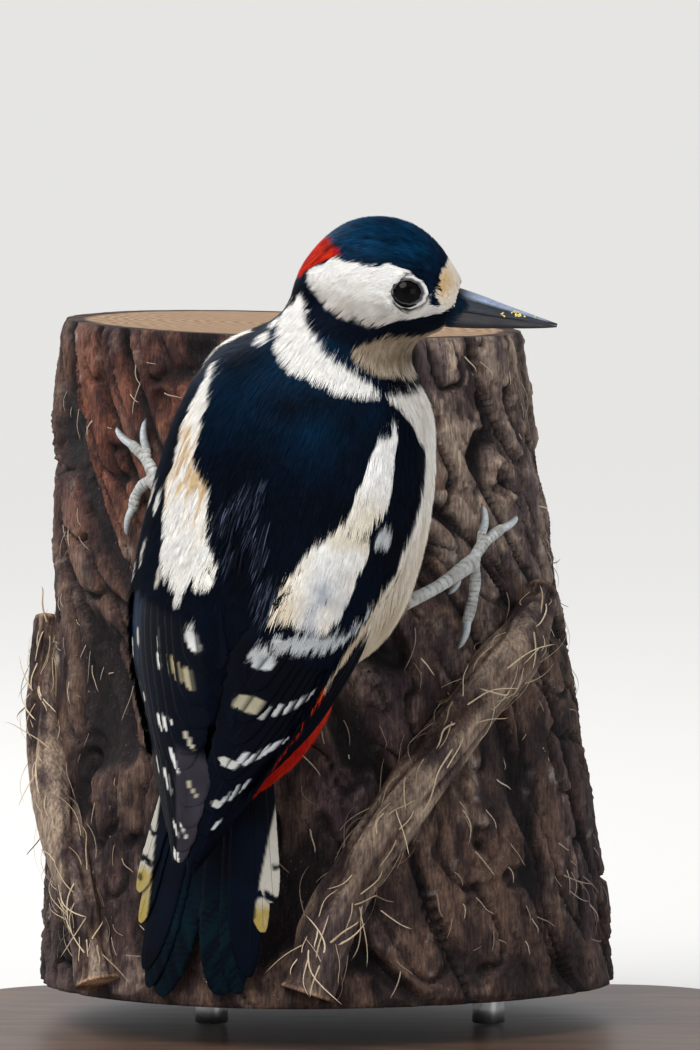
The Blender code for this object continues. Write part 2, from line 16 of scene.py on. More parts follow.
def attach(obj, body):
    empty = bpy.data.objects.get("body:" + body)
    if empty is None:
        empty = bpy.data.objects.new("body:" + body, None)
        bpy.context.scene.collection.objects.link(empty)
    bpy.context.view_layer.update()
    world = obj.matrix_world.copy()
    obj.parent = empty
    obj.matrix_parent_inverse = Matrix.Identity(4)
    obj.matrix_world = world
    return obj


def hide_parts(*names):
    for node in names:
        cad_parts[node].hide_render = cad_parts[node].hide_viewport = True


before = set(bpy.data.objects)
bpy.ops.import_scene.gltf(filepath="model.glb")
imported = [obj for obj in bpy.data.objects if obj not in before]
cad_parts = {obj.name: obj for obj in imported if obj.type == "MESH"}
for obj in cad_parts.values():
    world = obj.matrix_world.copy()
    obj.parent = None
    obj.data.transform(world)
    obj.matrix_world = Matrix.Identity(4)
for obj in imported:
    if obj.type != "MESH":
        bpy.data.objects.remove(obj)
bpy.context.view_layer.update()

MM = 0.001

# The frame's sizes

BASE_WIDTH, BASE_DEPTH, BASE_HEIGHT, BASE_CORNER, BASE_EDGE = 196.0, 212.0, 12.0, 34.0, 2.5
ROD_SPREAD, ROD_BACK = 34.0, 12.0
# up each rod: height and radius
ROD_LEVELS = ((12.35, 3.7), (12.6, 4.0), (16.0, 4.0), (19.0, 4.0), (21.4, 4.0), (21.65, 3.7))
LOG_BOTTOM, LOG_TOP, LOG_TOP_SLOPE = 22.0, 183.0, -0.03
LOG_FOOT, LOG_HEAD = np.array((-6.0, 26.0, 76.0)), np.array((-14.0, 24.0, 60.0))
LOG_LOBES = ((2, 0.020, 0.6), (3, 0.014, 2.1), (5, 0.008, 0.9))
TORSO_MIDDLE, TORSO_LEAN, TORSO_PITCH, TORSO_ROLL = (-15.0, -78.0, 141.0), 15.0, 16.0, 13.0
# along the torso: half width and height of the folded wings' face, the angles from the spine that
# they reach from and to, and their thickness
WINGS = {
    1: (
        (37, 26.2, 20.6, 50.0, 64.0, 1.8), (27, 30.0, 24.5, 38.0, 78.0, 3.0),
        (16, 32.8, 26.3, 32.0, 79.0, 3.4), (0, 34.0, 26.8, 24.0, 66.0, 3.4),
        (-18, 33.5, 25.2, 13.0, 53.0, 3.4), (-31, 30.5, 21.8, 6.0, 48.5, 3.2),
        (-44, 26.0, 17.4, 4.0, 48.0, 2.8), (-59, 17.6, 14.4, 4.5, 50.0, 2.2),
        (-71, 12.5, 11.4, 6.0, 46.0, 2.0), (-82, 7.5, 9.0, 9.0, 42.0, 1.6),
        (-88, 4.6, 8.0, 12.0, 36.0, 1.2),
    ),
    -1: (
        (37, 28.0, 20.0, 50.0, 66.0, 1.6), (27, 31.4, 24.5, 38.0, 82.0, 3.0),
        (16, 32.8, 26.3, 32.0, 88.0, 3.4), (0, 33.4, 26.8, 24.0, 86.0, 3.4),
        (-18, 33.0, 25.4, 13.0, 83.0, 3.4), (-31, 31.8, 22.0, 6.0, 80.0, 3.2),
        (-44, 28.2, 17.8, 4.0, 78.0, 2.8), (-59, 21.0, 14.6, 4.5, 78.0, 2.4),
        (-71, 15.5, 11.8, 6.0, 76.0, 2.2), (-82, 10.0, 9.4, 6.0, 72.0, 2.0),
        (-90, 6.5, 8.2, 6.0, 60.0, 1.4),
    ),
}
SIDES = {1: "right", -1: "left"}
HEAD_MIDDLE, HEAD_PITCH = (6.4, -90.0, 197.8), -9.0
EYE_RADIUS, EYE_PLACE = 4.6, np.array((8.9, 6.85, 0.9))
BILL = (
    (17.0, 4.7, 3.7, -6.1), (20.0, 4.3, 3.3, -6.0), (25.0, 3.5, 2.4, -5.4), (30.0, 2.7, 1.3, -4.6),
    (36.0, 1.8, 0.1, -3.7), (40.5, 1.2, -0.8, -2.9), (43.4, 0.5, -1.35, -2.25),
)
BILL_SEAM = -1.75
TAIL_ROOT, TAIL_TIP, TAIL_ROLL = np.array((-28.0, -65.0, 106.0)), np.array((-40.0, -44.5, 25.0)), 27.0
# place across the tail and reach of each feather, from the bird's right outer one to its left
TAIL_FEATHERS = ((-19.4, 55.5), (-18.0, 63.5), (-17.2, 75.5), (-15.0, 80.5), (-12.2, 82.0), (11.0, 87.0),
                 (13.2, 86.0), (15.0, 82.0), (17.2, 71.0), (19.0, 63.5))
LEGS = {
    1: {
        "hip": (6.0, -12.0, -10.0), "heel": (12.5, -45.0, 119.5), "foot": (28.0, 128.5),
        "toes": {
            "inner": ((32.6, 141.0), 7.5, -0.4), "middle": ((39.5, 140.0), 10.5, 0.4),
            "outer": ((26.5, 106.5), 15.0, 0.6), "hind": ((22.0, 121.0), 5.5, -0.4),
        },
    },
    -1: {
        "hip": (-8.0, 0.0, -10.0), "heel": (-36.5, -48.0, 137.0), "foot": (-45.5, 148.5),
        "toes": {
            "inner": ((-49.8, 161.8), 8.5, 0.4), "middle": ((-55.0, 161.5), 10.5, -0.4),
            "outer": ((-54.5, 137.0), 9.5, -0.9), "hind": ((-41.0, 140.0), 5.5, 0.4),
        },
    },
}
TARSUS_RADIUS, TOE_RADIUS, CLAW_RADIUS, CLAW_LENGTH = 1.75, 1.35, 0.95, 7.0
CLIMBERS = {
    "perch_climber_right": ((63, 120, 4.0), (50, 108, 7.2), (32, 90, 7.0), (15, 67, 6.6), (3, 46, 7.0),
                            (-3, 26, 7.2)),
    "perch_climber_left": ((-82, 112, 3.0), (-75, 92, 5.0), (-63, 68, 5.6), (-52, 46, 5.4), (-46, 26, 6.0)),
}


# Measuring


def unit(vectors):
    return vectors / np.maximum(np.linalg.norm(vectors, axis=-1, keepdims=True), 1e-9)


def smooth(low, high, at):
    """0 below low, 1 above high, and a smooth rise between them."""
    t = np.clip((np.asarray(at, float) - low) / (high - low), 0.0, 1.0)
    return t * t * (3.0 - 2.0 * t)


def between(table, at):
    """Rows of a table at places, on a smooth curve through its rows. The first column is the place."""
    rows = np.array(sorted(table), float)
    at = np.clip(np.asarray(at, float), rows[0, 0], rows[-1, 0])
    i = np.clip(np.searchsorted(rows[:, 0], at, side="right") - 1, 0, len(rows) - 2)
    low, high = rows[i], rows[i + 1]
    before, after = rows[np.maximum(i - 1, 0)], rows[np.minimum(i + 2, len(rows) - 1)]
    step = high[..., :1] - low[..., :1]
    t = (at[..., None] - low[..., :1]) / step
    start = (high - before) / (high[..., :1] - before[..., :1]) * step
    end = (after - low) / (after[..., :1] - low[..., :1]) * step
    found = (2 * t**3 - 3 * t**2 + 1) * low + (t**3 - 2 * t**2 + t) * start
    return (found + (3 * t**2 - 2 * t**3) * high + (t**3 - t**2) * end)[..., 1:]


def along(points, t):
    """Points at shares t of a smooth curve through the given points."""
    return between([(i / (len(points) - 1), *p) for i, p in enumerate(points)], t)


class Place:
    """A frame with X to the bird's right, Y forward and Z up."""

    def __init__(self, middle, forward, up):
        y = unit(np.array(forward, float))
        x = unit(np.cross(y, np.array(up, float)))
        self.middle, self.axes = np.array(middle, float), np.array((x, y, np.cross(x, y)))

    def out(self, local):
        return np.asarray(local, float) @ self.axes + self.middle

    def into(self, world):
        return (np.asarray(world, float) - self.middle) @ self.axes.T

    def turn(self, local):
        return np.asarray(local, float) @ self.axes


def torso_place():
    forward = np.array((math.tan(math.radians(TORSO_LEAN)), -math.tan(math.radians(TORSO_PITCH)), 1.0))
    axis, up, roll = unit(forward), np.array((0.0, -1.0, 0.0)), math.radians(-TORSO_ROLL)
    turned = up * math.cos(roll) + np.cross(axis, up) * math.sin(roll)
    return Place(TORSO_MIDDLE, forward, turned + axis * (axis @ up) * (1 - math.cos(roll)))


def tail_place():
    roll = math.radians(TAIL_ROLL)
    return Place(TAIL_ROOT, TAIL_TIP - TAIL_ROOT, (-math.sin(roll), -math.cos(roll), 0.0))


TORSO, TAIL = torso_place(), tail_place()
HEAD_FORWARD = (math.cos(math.radians(HEAD_PITCH)), 0.0, math.sin(math.radians(HEAD_PITCH)))
HEAD = Place(HEAD_MIDDLE, HEAD_FORWARD, (0, 0, 1))


def lattice(cells, seed):
    """A number from 0 to 1 for each whole-numbered cell."""
    mixed = cells[..., 0] * 73856093 ^ cells[..., 1] * 19349663 ^ cells[..., 2] * 83492791 ^ seed * 2654435
    mixed = (mixed ^ (mixed >> 13)) * 1274126177 & 0x7FFFFFFF
    return ((mixed ^ (mixed >> 16)) & 0xFFFF) / 65535.0


def cloud(points, size, seed=0, octaves=1):
    """Soft noise from -1 to 1 with lumps about as big as size."""
    total, strength, whole = 0.0, 1.0, 0.0
    for octave in range(octaves):
        at = np.asarray(points, float) / (size / 2.0**octave) + 17.3 * octave
        cell = np.floor(at).astype(np.int64)
        f = at - cell
        f = f * f * (3.0 - 2.0 * f)
        value = 0.0
        for corner in range(8):
            step = np.array((corner & 1, corner >> 1 & 1, corner >> 2 & 1))
            share = np.prod(np.where(step == 1, f, 1.0 - f), axis=-1)
            value = value + share * lattice(cell + step, seed + octave)
        total, whole = total + strength * (2.0 * value - 1.0), whole + strength
        strength *= 0.5
    return total / whole


# Meshes


def mesh_piece(name, points, faces, colours=None, numbers=None, uv=None, facing=None):
    """One piece from points in mm and arrays of faces, where each array's faces have as many sides.

    Each point may also have a colour, named numbers, a place in the bake map and a facing of its own.
    """
    mesh = bpy.data.meshes.new(name)
    sizes = np.concatenate([np.full(len(f), f.shape[1]) for f in faces])
    loops = np.concatenate([f.reshape(-1) for f in faces]).astype(np.int32)
    mesh.vertices.add(len(points))
    mesh.vertices.foreach_set("co", (np.asarray(points, np.float64) * MM).astype(np.float32).ravel())
    mesh.loops.add(len(loops))
    mesh.loops.foreach_set("vertex_index", loops)
    mesh.polygons.add(len(sizes))
    mesh.polygons.foreach_set("loop_start", np.concatenate(([0], np.cumsum(sizes)[:-1])).astype(np.int32))
    mesh.polygons.foreach_set("use_smooth", np.full(len(sizes), True))
    if colours is not None:
        opaque = np.column_stack((colours, np.ones(len(points)))).astype(np.float32)
        layer = mesh.color_attributes.new("tint", "FLOAT_COLOR", "POINT")
        layer.data.foreach_set("color", opaque.ravel())
    for key, values in (numbers or {}).items():
        kind, field = ("FLOAT_VECTOR", "vector") if np.ndim(values) == 2 else ("FLOAT", "value")
        layer = mesh.attributes.new(key, kind, "POINT")
        layer.data.foreach_set(field, np.asarray(values, np.float32).ravel())
    if uv is not None:
        layer = mesh.uv_layers.new(name="OFBake")
        layer.data.foreach_set("uv", np.asarray(uv, np.float32)[loops].ravel())
    mesh.update()
    mesh.validate()
    if facing is not None:
        mesh.normals_split_custom_set_from_vertices(np.asarray(facing, np.float32))
    made = bpy.data.objects.new(name, mesh)
    bpy.context.scene.collection.objects.link(made)
    return made


def dress(piece, finish, slot, *nodes):
    """Gives a piece its finish, puts it on the model and hides the imported nodes that it stands for."""
    piece.data.materials.clear()
    piece.data.materials.append(finish)
    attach(piece, "root")
    if nodes:
        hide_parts(*nodes)
    return piece


class Form:
    """A closed surface in mm that can be searched for its nearest points."""

    def __init__(self, mesh):
        self.points = np.zeros(len(mesh.vertices) * 3)
        mesh.vertices.foreach_get("co", self.points)
        self.points = self.points.reshape(-1, 3) / MM
        self.normals = np.array([v.normal for v in mesh.vertices])
        mesh.calc_loop_triangles()
        self.faces = np.zeros(len(mesh.loop_triangles) * 3, np.int64)
        mesh.loop_triangles.foreach_get("vertices", self.faces)
        self.faces = self.faces.reshape(-1, 3)
        self.tree = BVHTree.FromPolygons(self.points.tolist(), self.faces.tolist())

    def nearest(self, points):
        found = [self.tree.find_nearest(Vector(p)) for p in points]
        at = np.array([f[0] for f in found])
        a, b, c = (self.points[self.faces[[f[2] for f in found], k]] for k in range(3))
        area = lambda p, q, r: np.linalg.norm(np.cross(q - p, r - p), axis=1)
        shares = np.column_stack((area(at, b, c), area(at, c, a), area(at, a, b)))
        shares /= shares.sum(1, keepdims=True)
        corners = self.normals[self.faces[[f[2] for f in found]]]
        return at, unit((corners * shares[..., None]).sum(1))

    def scatter(self, spacing, keep, seed):
        """Points over the surface, no closer than the spacing at each place."""
        chance = np.random.default_rng(seed)
        a, b, c = (self.points[self.faces[:, k]] for k in range(3))
        areas = np.linalg.norm(np.cross(b - a, c - a), axis=1) / 2
        gap = spacing((a + b + c) / 3)
        wanted = areas / gap**2 * keep((a + b + c) / 3)
        count = int(wanted.sum() * 3.0)
        chosen = chance.choice(len(areas), count, p=wanted / wanted.sum())
        u, v = chance.random(count), chance.random(count)
        u, v = np.where(u + v > 1, 1 - u, u), np.where(u + v > 1, 1 - v, v)
        at = a[chosen] + (b - a)[chosen] * u[:, None] + (c - a)[chosen] * v[:, None]
        normals = self.normals[self.faces[chosen]]
        normals = unit(normals[:, 0] * (1 - u - v)[:, None] + normals[:, 1] * u[:, None]
                       + normals[:, 2] * v[:, None])
        gap, cell = spacing(at), gap.max()
        grid, taken = {}, []
        keys = np.floor(at / cell).astype(int)
        for i, ((x, y, z), key, own) in enumerate(zip(at.tolist(), keys.tolist(), gap.tolist())):
            near = (
                other
                for dx in (-1, 0, 1) for dy in (-1, 0, 1) for dz in (-1, 0, 1)
                for other in grid.get((key[0] + dx, key[1] + dy, key[2] + dz), ())
            )
            limit = own * own
            if all((x - p) ** 2 + (y - q) ** 2 + (z - r) ** 2 >= limit for p, q, r in near):
                grid.setdefault(tuple(key), []).append((x, y, z))
                taken.append(i)
        return at[taken], normals[taken]


def packed(*nodes):
    """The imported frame's meshes of some nodes."""
    return [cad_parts[node].data for node in nodes]


def soft_union(name, meshes, voxel, rounds):
    """Closed bodies run together as one smooth closed mesh."""
    joined = bmesh.new()
    for each in meshes:
        joined.from_mesh(each)
    bmesh.ops.remove_doubles(joined, verts=joined.verts, dist=0.01 * MM)
    mesh = bpy.data.meshes.new(name)
    joined.to_mesh(mesh)
    joined.free()
    made = bpy.data.objects.new(name, mesh)
    bpy.context.scene.collection.objects.link(made)
    remesh = made.modifiers.new("remesh", "REMESH")
    remesh.mode, remesh.voxel_size = "VOXEL", voxel * MM
    soften = made.modifiers.new("soften", "SMOOTH")
    soften.factor, soften.iterations = 0.5, rounds
    graph = bpy.context.evaluated_depsgraph_get()
    found = bpy.data.meshes.new_from_object(made.evaluated_get(graph), depsgraph=graph)
    bpy.data.objects.remove(made)
    found.name = name
    return found


# Charts that the markings are drawn on


def body_chart(points):
    """Places along the torso, and degrees round from the spine, positive on the bird's right."""
    at = TORSO.into(points)
    rows = [between([row[:3] for row in WINGS[side]], at[:, 1]) for side in SIDES]
    size = np.where(at[:, :1] > 0, rows[0], rows[1])
    return at[:, 1], np.degrees(np.arctan2(at[:, 0] / size[:, 0], at[:, 2] / size[:, 1]))


def head_chart(points):
    """Places forward, up and sideways on the head."""
    at = HEAD.into(points)
    return at[:, 1], at[:, 2], at[:, 0]


def neck_chart(points):
    """Share of the way from the shoulders to the head, and degrees round from the turned nape line."""
    torso, head = TORSO.into(points), HEAD.into(points)
    low = np.maximum(torso[:, 1] - 34.0, 0.01)
    high = np.maximum(-4.0 - (0.97 * head[:, 2] + 0.22 * head[:, 1]), 0.01)
    share = low / (low + high)
    start, end = TORSO.out((0.0, 32.0, -1.0)), HEAD.out((0.0, -3.0, -6.0))
    off = points - (start + (end - start) * share[:, None])
    dorsal = [TORSO.turn((0.0, 0.0, 1.0)), HEAD.turn((0.0, -1.0, 0.0))]
    turns = [math.degrees(math.atan2(d[0], -d[1])) for d in dorsal]
    angle = np.degrees(np.arctan2(off[:, 0], -off[:, 1]))
    angle -= turns[0] + (turns[1] - turns[0]) * smooth(0.0, 1.0, share)
    return share, (angle + 180.0) % 360.0 - 180.0


def inside(u, v, outline):
    """Whether each place of a chart lies inside a closed outline."""
    found = np.zeros(len(u), bool)
    for (u0, v0), (u1, v1) in zip(outline, outline[1:] + outline[:1]):
        if v0 != v1:
            crosses = (v0 > v) != (v1 > v)
            found ^= crosses & (u < (u1 - u0) * (v - v0) / (v1 - v0) + u0)
    return found


def slivers(centre, normal, thick):
    """Thin closed three-sided blades along lines: each blade's points and facings, and all the faces."""
    lines, stations = centre.shape[:2]
    lateral = unit(np.cross(np.gradient(centre, axis=1), normal))
    corners = [centre[:, :-1] + lateral[:, :-1] * thick[:, :-1, None] * s * 0.5
               + normal[:, :-1] * thick[:, :-1, None] * h for s, h in ((-1, 0.0), (0, 0.32), (1, 0.0))]
    rings = np.stack(corners, 2).reshape(lines, -1, 3)
    points = np.concatenate((rings, centre[:, -1:]), 1)
    leans = np.stack([unit(normal[:, :-1] + lateral[:, :-1] * s) for s in (-0.75, 0, 0.75)], 2)
    facing = np.concatenate((leans.reshape(lines, -1, 3), normal[:, -1:]), 1)
    each, first = points.shape[1], 3 * (stations - 2)
    offsets = (np.arange(lines) * each)[:, None, None]
    caps = [(first + a, first + b, each - 1) for a, b in ((0, 1), (1, 2), (2, 0))] + [(0, 2, 1)]
    faces = [(np.array(caps)[None] + offsets).reshape(-1, 3)]
    quads = [(row + a, row + b, row + 3 + b, row + 3 + a)
             for row in range(0, first, 3) for a, b in ((0, 1), (1, 2), (2, 0))]
    if quads:
        faces.append((np.array(quads)[None] + offsets).reshape(-1, 4))
    return points, facing, faces


def strands_piece(name, centre, normal, thick, colours, gloss=0.0):
    """A piece of loose strands, one colour or one per strand."""
    points, facing, faces = slivers(centre, normal, thick)
    lines, each = points.shape[:2]
    colours = np.broadcast_to(np.asarray(colours, float).reshape(-1, 1, 3), (lines, each, 3))
    spread, columns = np.linspace(0, 1, each), 97
    column = (np.arange(lines)[:, None] % columns) / float(columns)
    uv = np.stack(np.broadcast_arrays(column + spread * 0.002, spread[None]), -1)
    return mesh_piece(name, points.reshape(-1, 3), faces, colours.reshape(-1, 3),
                      {"gloss": np.full(lines * each, gloss)}, uv.reshape(-1, 2), facing.reshape(-1, 3))


def volume_of(points, faces):
    """The volume inside closed faces, negative where they face inward."""
    total = 0.0
    for f in faces:
        for k in range(1, f.shape[1] - 1):
            a, b, c = points[f[:, 0]], points[f[:, k]], points[f[:, k + 1]]
            total += (np.cross(a, b) * c).sum()
    return total


def loft_piece(name, rings, colour, numbers=None, hoop=False):
    """A closed piece through rings of points: capped with fans, or joined into a hoop.

    It has one colour, or one for each point.
    """
    rings = np.asarray(rings, float)
    count, sides = rings.shape[:2]
    points = rings.reshape(-1, 3)
    colours = np.asarray(colour, float)
    if colours.ndim == 1:
        colours = np.broadcast_to(colours, (count, sides, 3))
    grid = np.arange(count * sides).reshape(count, sides)
    ahead = np.roll(grid, -1, 1)
    if hoop:
        nearer, farther = (grid, ahead), (np.roll(grid, -1, 0), np.roll(ahead, -1, 0))
    else:
        nearer, farther = (grid[:-1], ahead[:-1]), (grid[1:], ahead[1:])
    faces = [np.stack((nearer[0], nearer[1], farther[1], farther[0]), -1).reshape(-1, 4)]
    shares = np.stack(np.broadcast_arrays(np.abs(2 * np.arange(sides) / sides - 1)[None],
                                          np.linspace(0, 1, count)[:, None]), -1)
    parts = [(points, colours.reshape(-1, 3), shares.reshape(-1, 2))]
    if not hoop:
        low = np.stack((ahead[0], grid[0], np.full(sides, count * sides)), -1)
        high = np.stack((grid[-1], ahead[-1], np.full(sides, count * sides + 1)), -1)
        faces.append(np.concatenate((low, high)))
        parts.append((rings[[0, -1]].mean(1), colours[[0, -1]].mean(1), np.array(((0.5, 0.0), (0.5, 1.0)))))
    points, colours, uv = (np.concatenate(values) for values in zip(*parts))
    if volume_of(points - points.mean(0), faces) < 0:
        faces = [f[:, ::-1] for f in faces]
    numbers = {"gloss": np.zeros(len(points)), **(numbers or {})}
    return mesh_piece(name, points, faces, colours, numbers, uv)


def tube_rings(points, radii, count, sides, up, flatten=1.0):
    """Rings of a round body along a smooth line; flatten is its thickness along up over its width."""
    t = np.linspace(0, 1, count)
    middle = along(points, t)
    way = unit(np.gradient(middle, axis=0))
    across = unit(np.cross(way, np.broadcast_to(up, way.shape)))
    rise = np.cross(across, way)
    radius = between([(i / (len(radii) - 1), r) for i, r in enumerate(radii)], t)
    turn = np.arange(sides) * math.tau / sides
    return (middle[:, None] + across[:, None] * (radius * np.cos(turn))[..., None]
            + rise[:, None] * (radius * np.sin(turn) * flatten)[..., None])


# Markings

INK, NAVY, MIDNIGHT = (0.0018, 0.0026, 0.0055), (0.0016, 0.0060, 0.0180), (0.0012, 0.0300, 0.0780)
WHITE, CREAM, BUFF = np.array((0.96, 0.955, 0.94)), (0.88, 0.80, 0.66), (0.66, 0.42, 0.15)
STONE, CLAY = (0.28, 0.21, 0.145), (0.56, 0.45, 0.33)
SCARLET, VERMILION = (0.40, 0.007, 0.006), (0.70, 0.060, 0.010)
# the first colour here is painted shade for the right blaze, the last painted shade and hair streaks for the
# cheek
BLAZE_SHADE_GREY, SLATE, CHEEK_SHADE_AND_STREAKS = (0.40, 0.45, 0.54), (0.060, 0.075, 0.120), (0.38, 0.345, 0.31)

# on the head, forward and up
CHEEK = [(-17.5, 1.5), (-17.3, -1.3), (-15.8, -2.6), (-13.9, -4.2), (-12.7, -6.0), (-10.9, -6.9),
         (-9.2, -8.3), (-7.4, -9.2), (-5.1, -10.0), (-3.0, -10.2), (-0.9, -9.7), (2.0, -8.3), (5.1, -6.7),
         (8.9, -5.4), (13.0, -3.9), (15.4, -2.8), (15.6, -1.4), (12.1, -1.2), (11.4, 0.6), (10.3, 3.0),
         (9.2, 4.2), (8.0, 4.9), (5.7, 6.3), (2.9, 6.8), (0.7, 7.2), (-1.9, 5.6), (-4.9, 5.1), (-8.0, 5.3),
         (-10.3, 5.8), (-12.8, 5.3), (-13.6, 4.0), (-15.6, 3.0)]
BROW = [(15.9, 11.5), (14.0, 7.8), (13.5, 4.1), (13.2, 2.7), (13.3, 1.0), (14.4, -1.2), (15.4, -2.7),
        (17.2, -1.6), (19.0, 1.2), (22.0, 2.4), (23.0, 5.0), (21.0, 13.0)]
NAPE = [(-10.2, 6.9), (-11.4, 7.7), (-13.0, 8.6), (-14.9, 10.3), (-16.0, 14.0), (-26.0, 14.0), (-26.0, 0.0),
        (-18.9, -0.5), (-17.9, 1.3), (-15.4, 3.5), (-12.8, 5.4)]
CHIN = [(22.0, -5.4), (17.2, -6.2), (14.8, -7.5), (11.7, -9.4), (8.3, -10.5), (5.8, -11.2), (2.6, -12.3),
        (0.0, -13.4), (-1.5, -20.0), (24.0, -20.0), (24.0, -5.6)]
# on the neck, share of the way up and degrees round
COLLAR_FRONT = [(1.02, 168), (0.89, 162), (0.82, 143), (0.78, 127), (0.72, 106), (0.67, 88), (0.62, 76),
                (0.56, 64), (0.50, 62), (0.46, 66), (0.43, 71), (0.43, 81), (0.44, 96), (0.42, 107),
                (0.41, 122), (0.40, 181), (1.02, 181)]
NECK_PATCH = [(0.83, 19), (0.75, 16), (0.70, 4), (0.66, -8), (0.58, -14), (0.51, -10), (0.44, -12),
              (0.37, -12), (0.32, -9), (0.28, -8), (0.24, -1), (0.23, 3), (0.27, 12), (0.23, 13),
              (0.24, 20), (0.20, 25), (0.22, 36), (0.23, 46), (0.25, 55), (0.28, 65), (0.33, 63),
              (0.37, 59), (0.41, 53), (0.43, 45), (0.46, 40), (0.51, 37), (0.54, 33), (0.60, 31),
              (0.68, 29), (0.75, 30), (0.81, 27)]
NAPE_STRIPE = [(0.49, -36), (0.54, -30), (0.56, -15), (0.50, -15), (0.46, -27)]
NAPE_OVAL = [(0.42, -29), (0.37, -36), (0.31, -35), (0.32, -27), (0.37, -22), (0.42, -22)]
# on the body, place along and degrees round
BREAST_EDGE = {
    1: ((-95, 78), (-72, 74), (-66, 60), (-56, 50), (-48, 49), (-43, 47), (-31, 47.5), (-22, 49), (-17, 52),
        (-10, 56.5), (-5, 60), (0, 65), (4, 66.5), (9, 70), (14, 74), (19, 79), (24, 86), (28, 85),
        (32, 76), (36, 68), (39, 61), (41.5, 52), (46, 48)),
    -1: ((-95, 90), (-72, 88), (-59, 82), (-44, 80), (-31, 81), (-18, 84), (0, 87), (12, 86), (20, 86),
         (28, 87), (34, 88), (40, 88), (46, 88)),
}
LEFT_BLAZE = [(35.6, -63), (33.4, -58), (31.4, -54), (28.9, -51), (27.6, -47), (25.3, -46), (22.7, -46.5),
              (20, -43), (17, -42), (13.5, -42), (11.5, -36), (9.6, -30), (6, -27), (3, -25.5),
              (-2.8, -22.5), (-5.7, -18), (-10.3, -15), (-12.7, -14), (-14.8, -16), (-15.8, -20),
              (-15.3, -25), (-18.3, -27), (-21.7, -27), (-22.6, -31), (-19.7, -32), (-18.5, -36),
              (-17.6, -40), (-12.3, -46), (-7.5, -47), (-3.1, -51), (1.8, -53), (3.3, -57), (6.1, -57),
              (8.9, -53), (10.5, -55), (13.1, -58), (15.2, -56), (16.8, -62), (19.9, -60), (23.1, -61),
              (25.8, -60), (29.2, -60), (32.4, -63), (34.5, -66)]
RIGHT_BLAZE = [(36.5, 54), (33.6, 50), (32.4, 43), (30.5, 42), (26.5, 39), (23.6, 38.5), (18.7, 35),
               (14.1, 34), (10.2, 32), (8.4, 29), (4.6, 24), (-0.1, 19), (-3.8, 17), (-6.8, 15), (-9.1, 13),
               (-12.3, 12), (-16, 12), (-17.4, 17), (-16.1, 21), (-17.1, 30), (-16.5, 37), (-12.7, 41),
               (-7.7, 43), (-4.6, 44), (-1.7, 44), (0.8, 46), (5.4, 47), (10, 45), (11.8, 47), (14.4, 51),
               (18.9, 53), (26.3, 54), (33.2, 55.5)]
# a narrow dark line between two feathers of the right blaze, and its half width in mm
CREASE = along([(12.1, 33), (10.2, 35), (8.8, 38), (8.2, 42), (9.2, 45)], np.linspace(0, 1, 20))
CREASE_HALF_WIDTH = 0.42
# where long loose feathers part from the mantle, and how far in mm each group reaches
WISPS = [(9.9, -18), (15, -13), (18, -7), (11, -3), (3.3, 3), (-3.6, 9), (-9, 13), (2, -11)]
WISP_REACH = 1.7


def breast_edge(place, angle):
    """Degrees round at which the black back gives way to the pale underparts."""
    return np.where(angle > 0, between(BREAST_EDGE[1], place)[:, 0], between(BREAST_EDGE[-1], place)[:, 0])


def nearest_of(place, angle, spots):
    """How far in mm places on the body's chart are from the nearest of some spots."""
    return np.min([np.hypot(place - p, (angle - a) * 0.5) for p, a in spots], 0)


def mixed(start, end, share):
    """Colours a share of the way from one to another, where a share may lie past 0 and 1."""
    share = np.asarray(share)[..., None]
    return np.asarray(start) * (1 - share) + np.asarray(end) * share


def blend(start, end, share):
    """Colours a share of the way from one to another, with the share held from 0 to 1."""
    return mixed(start, end, np.clip(share, 0, 1))


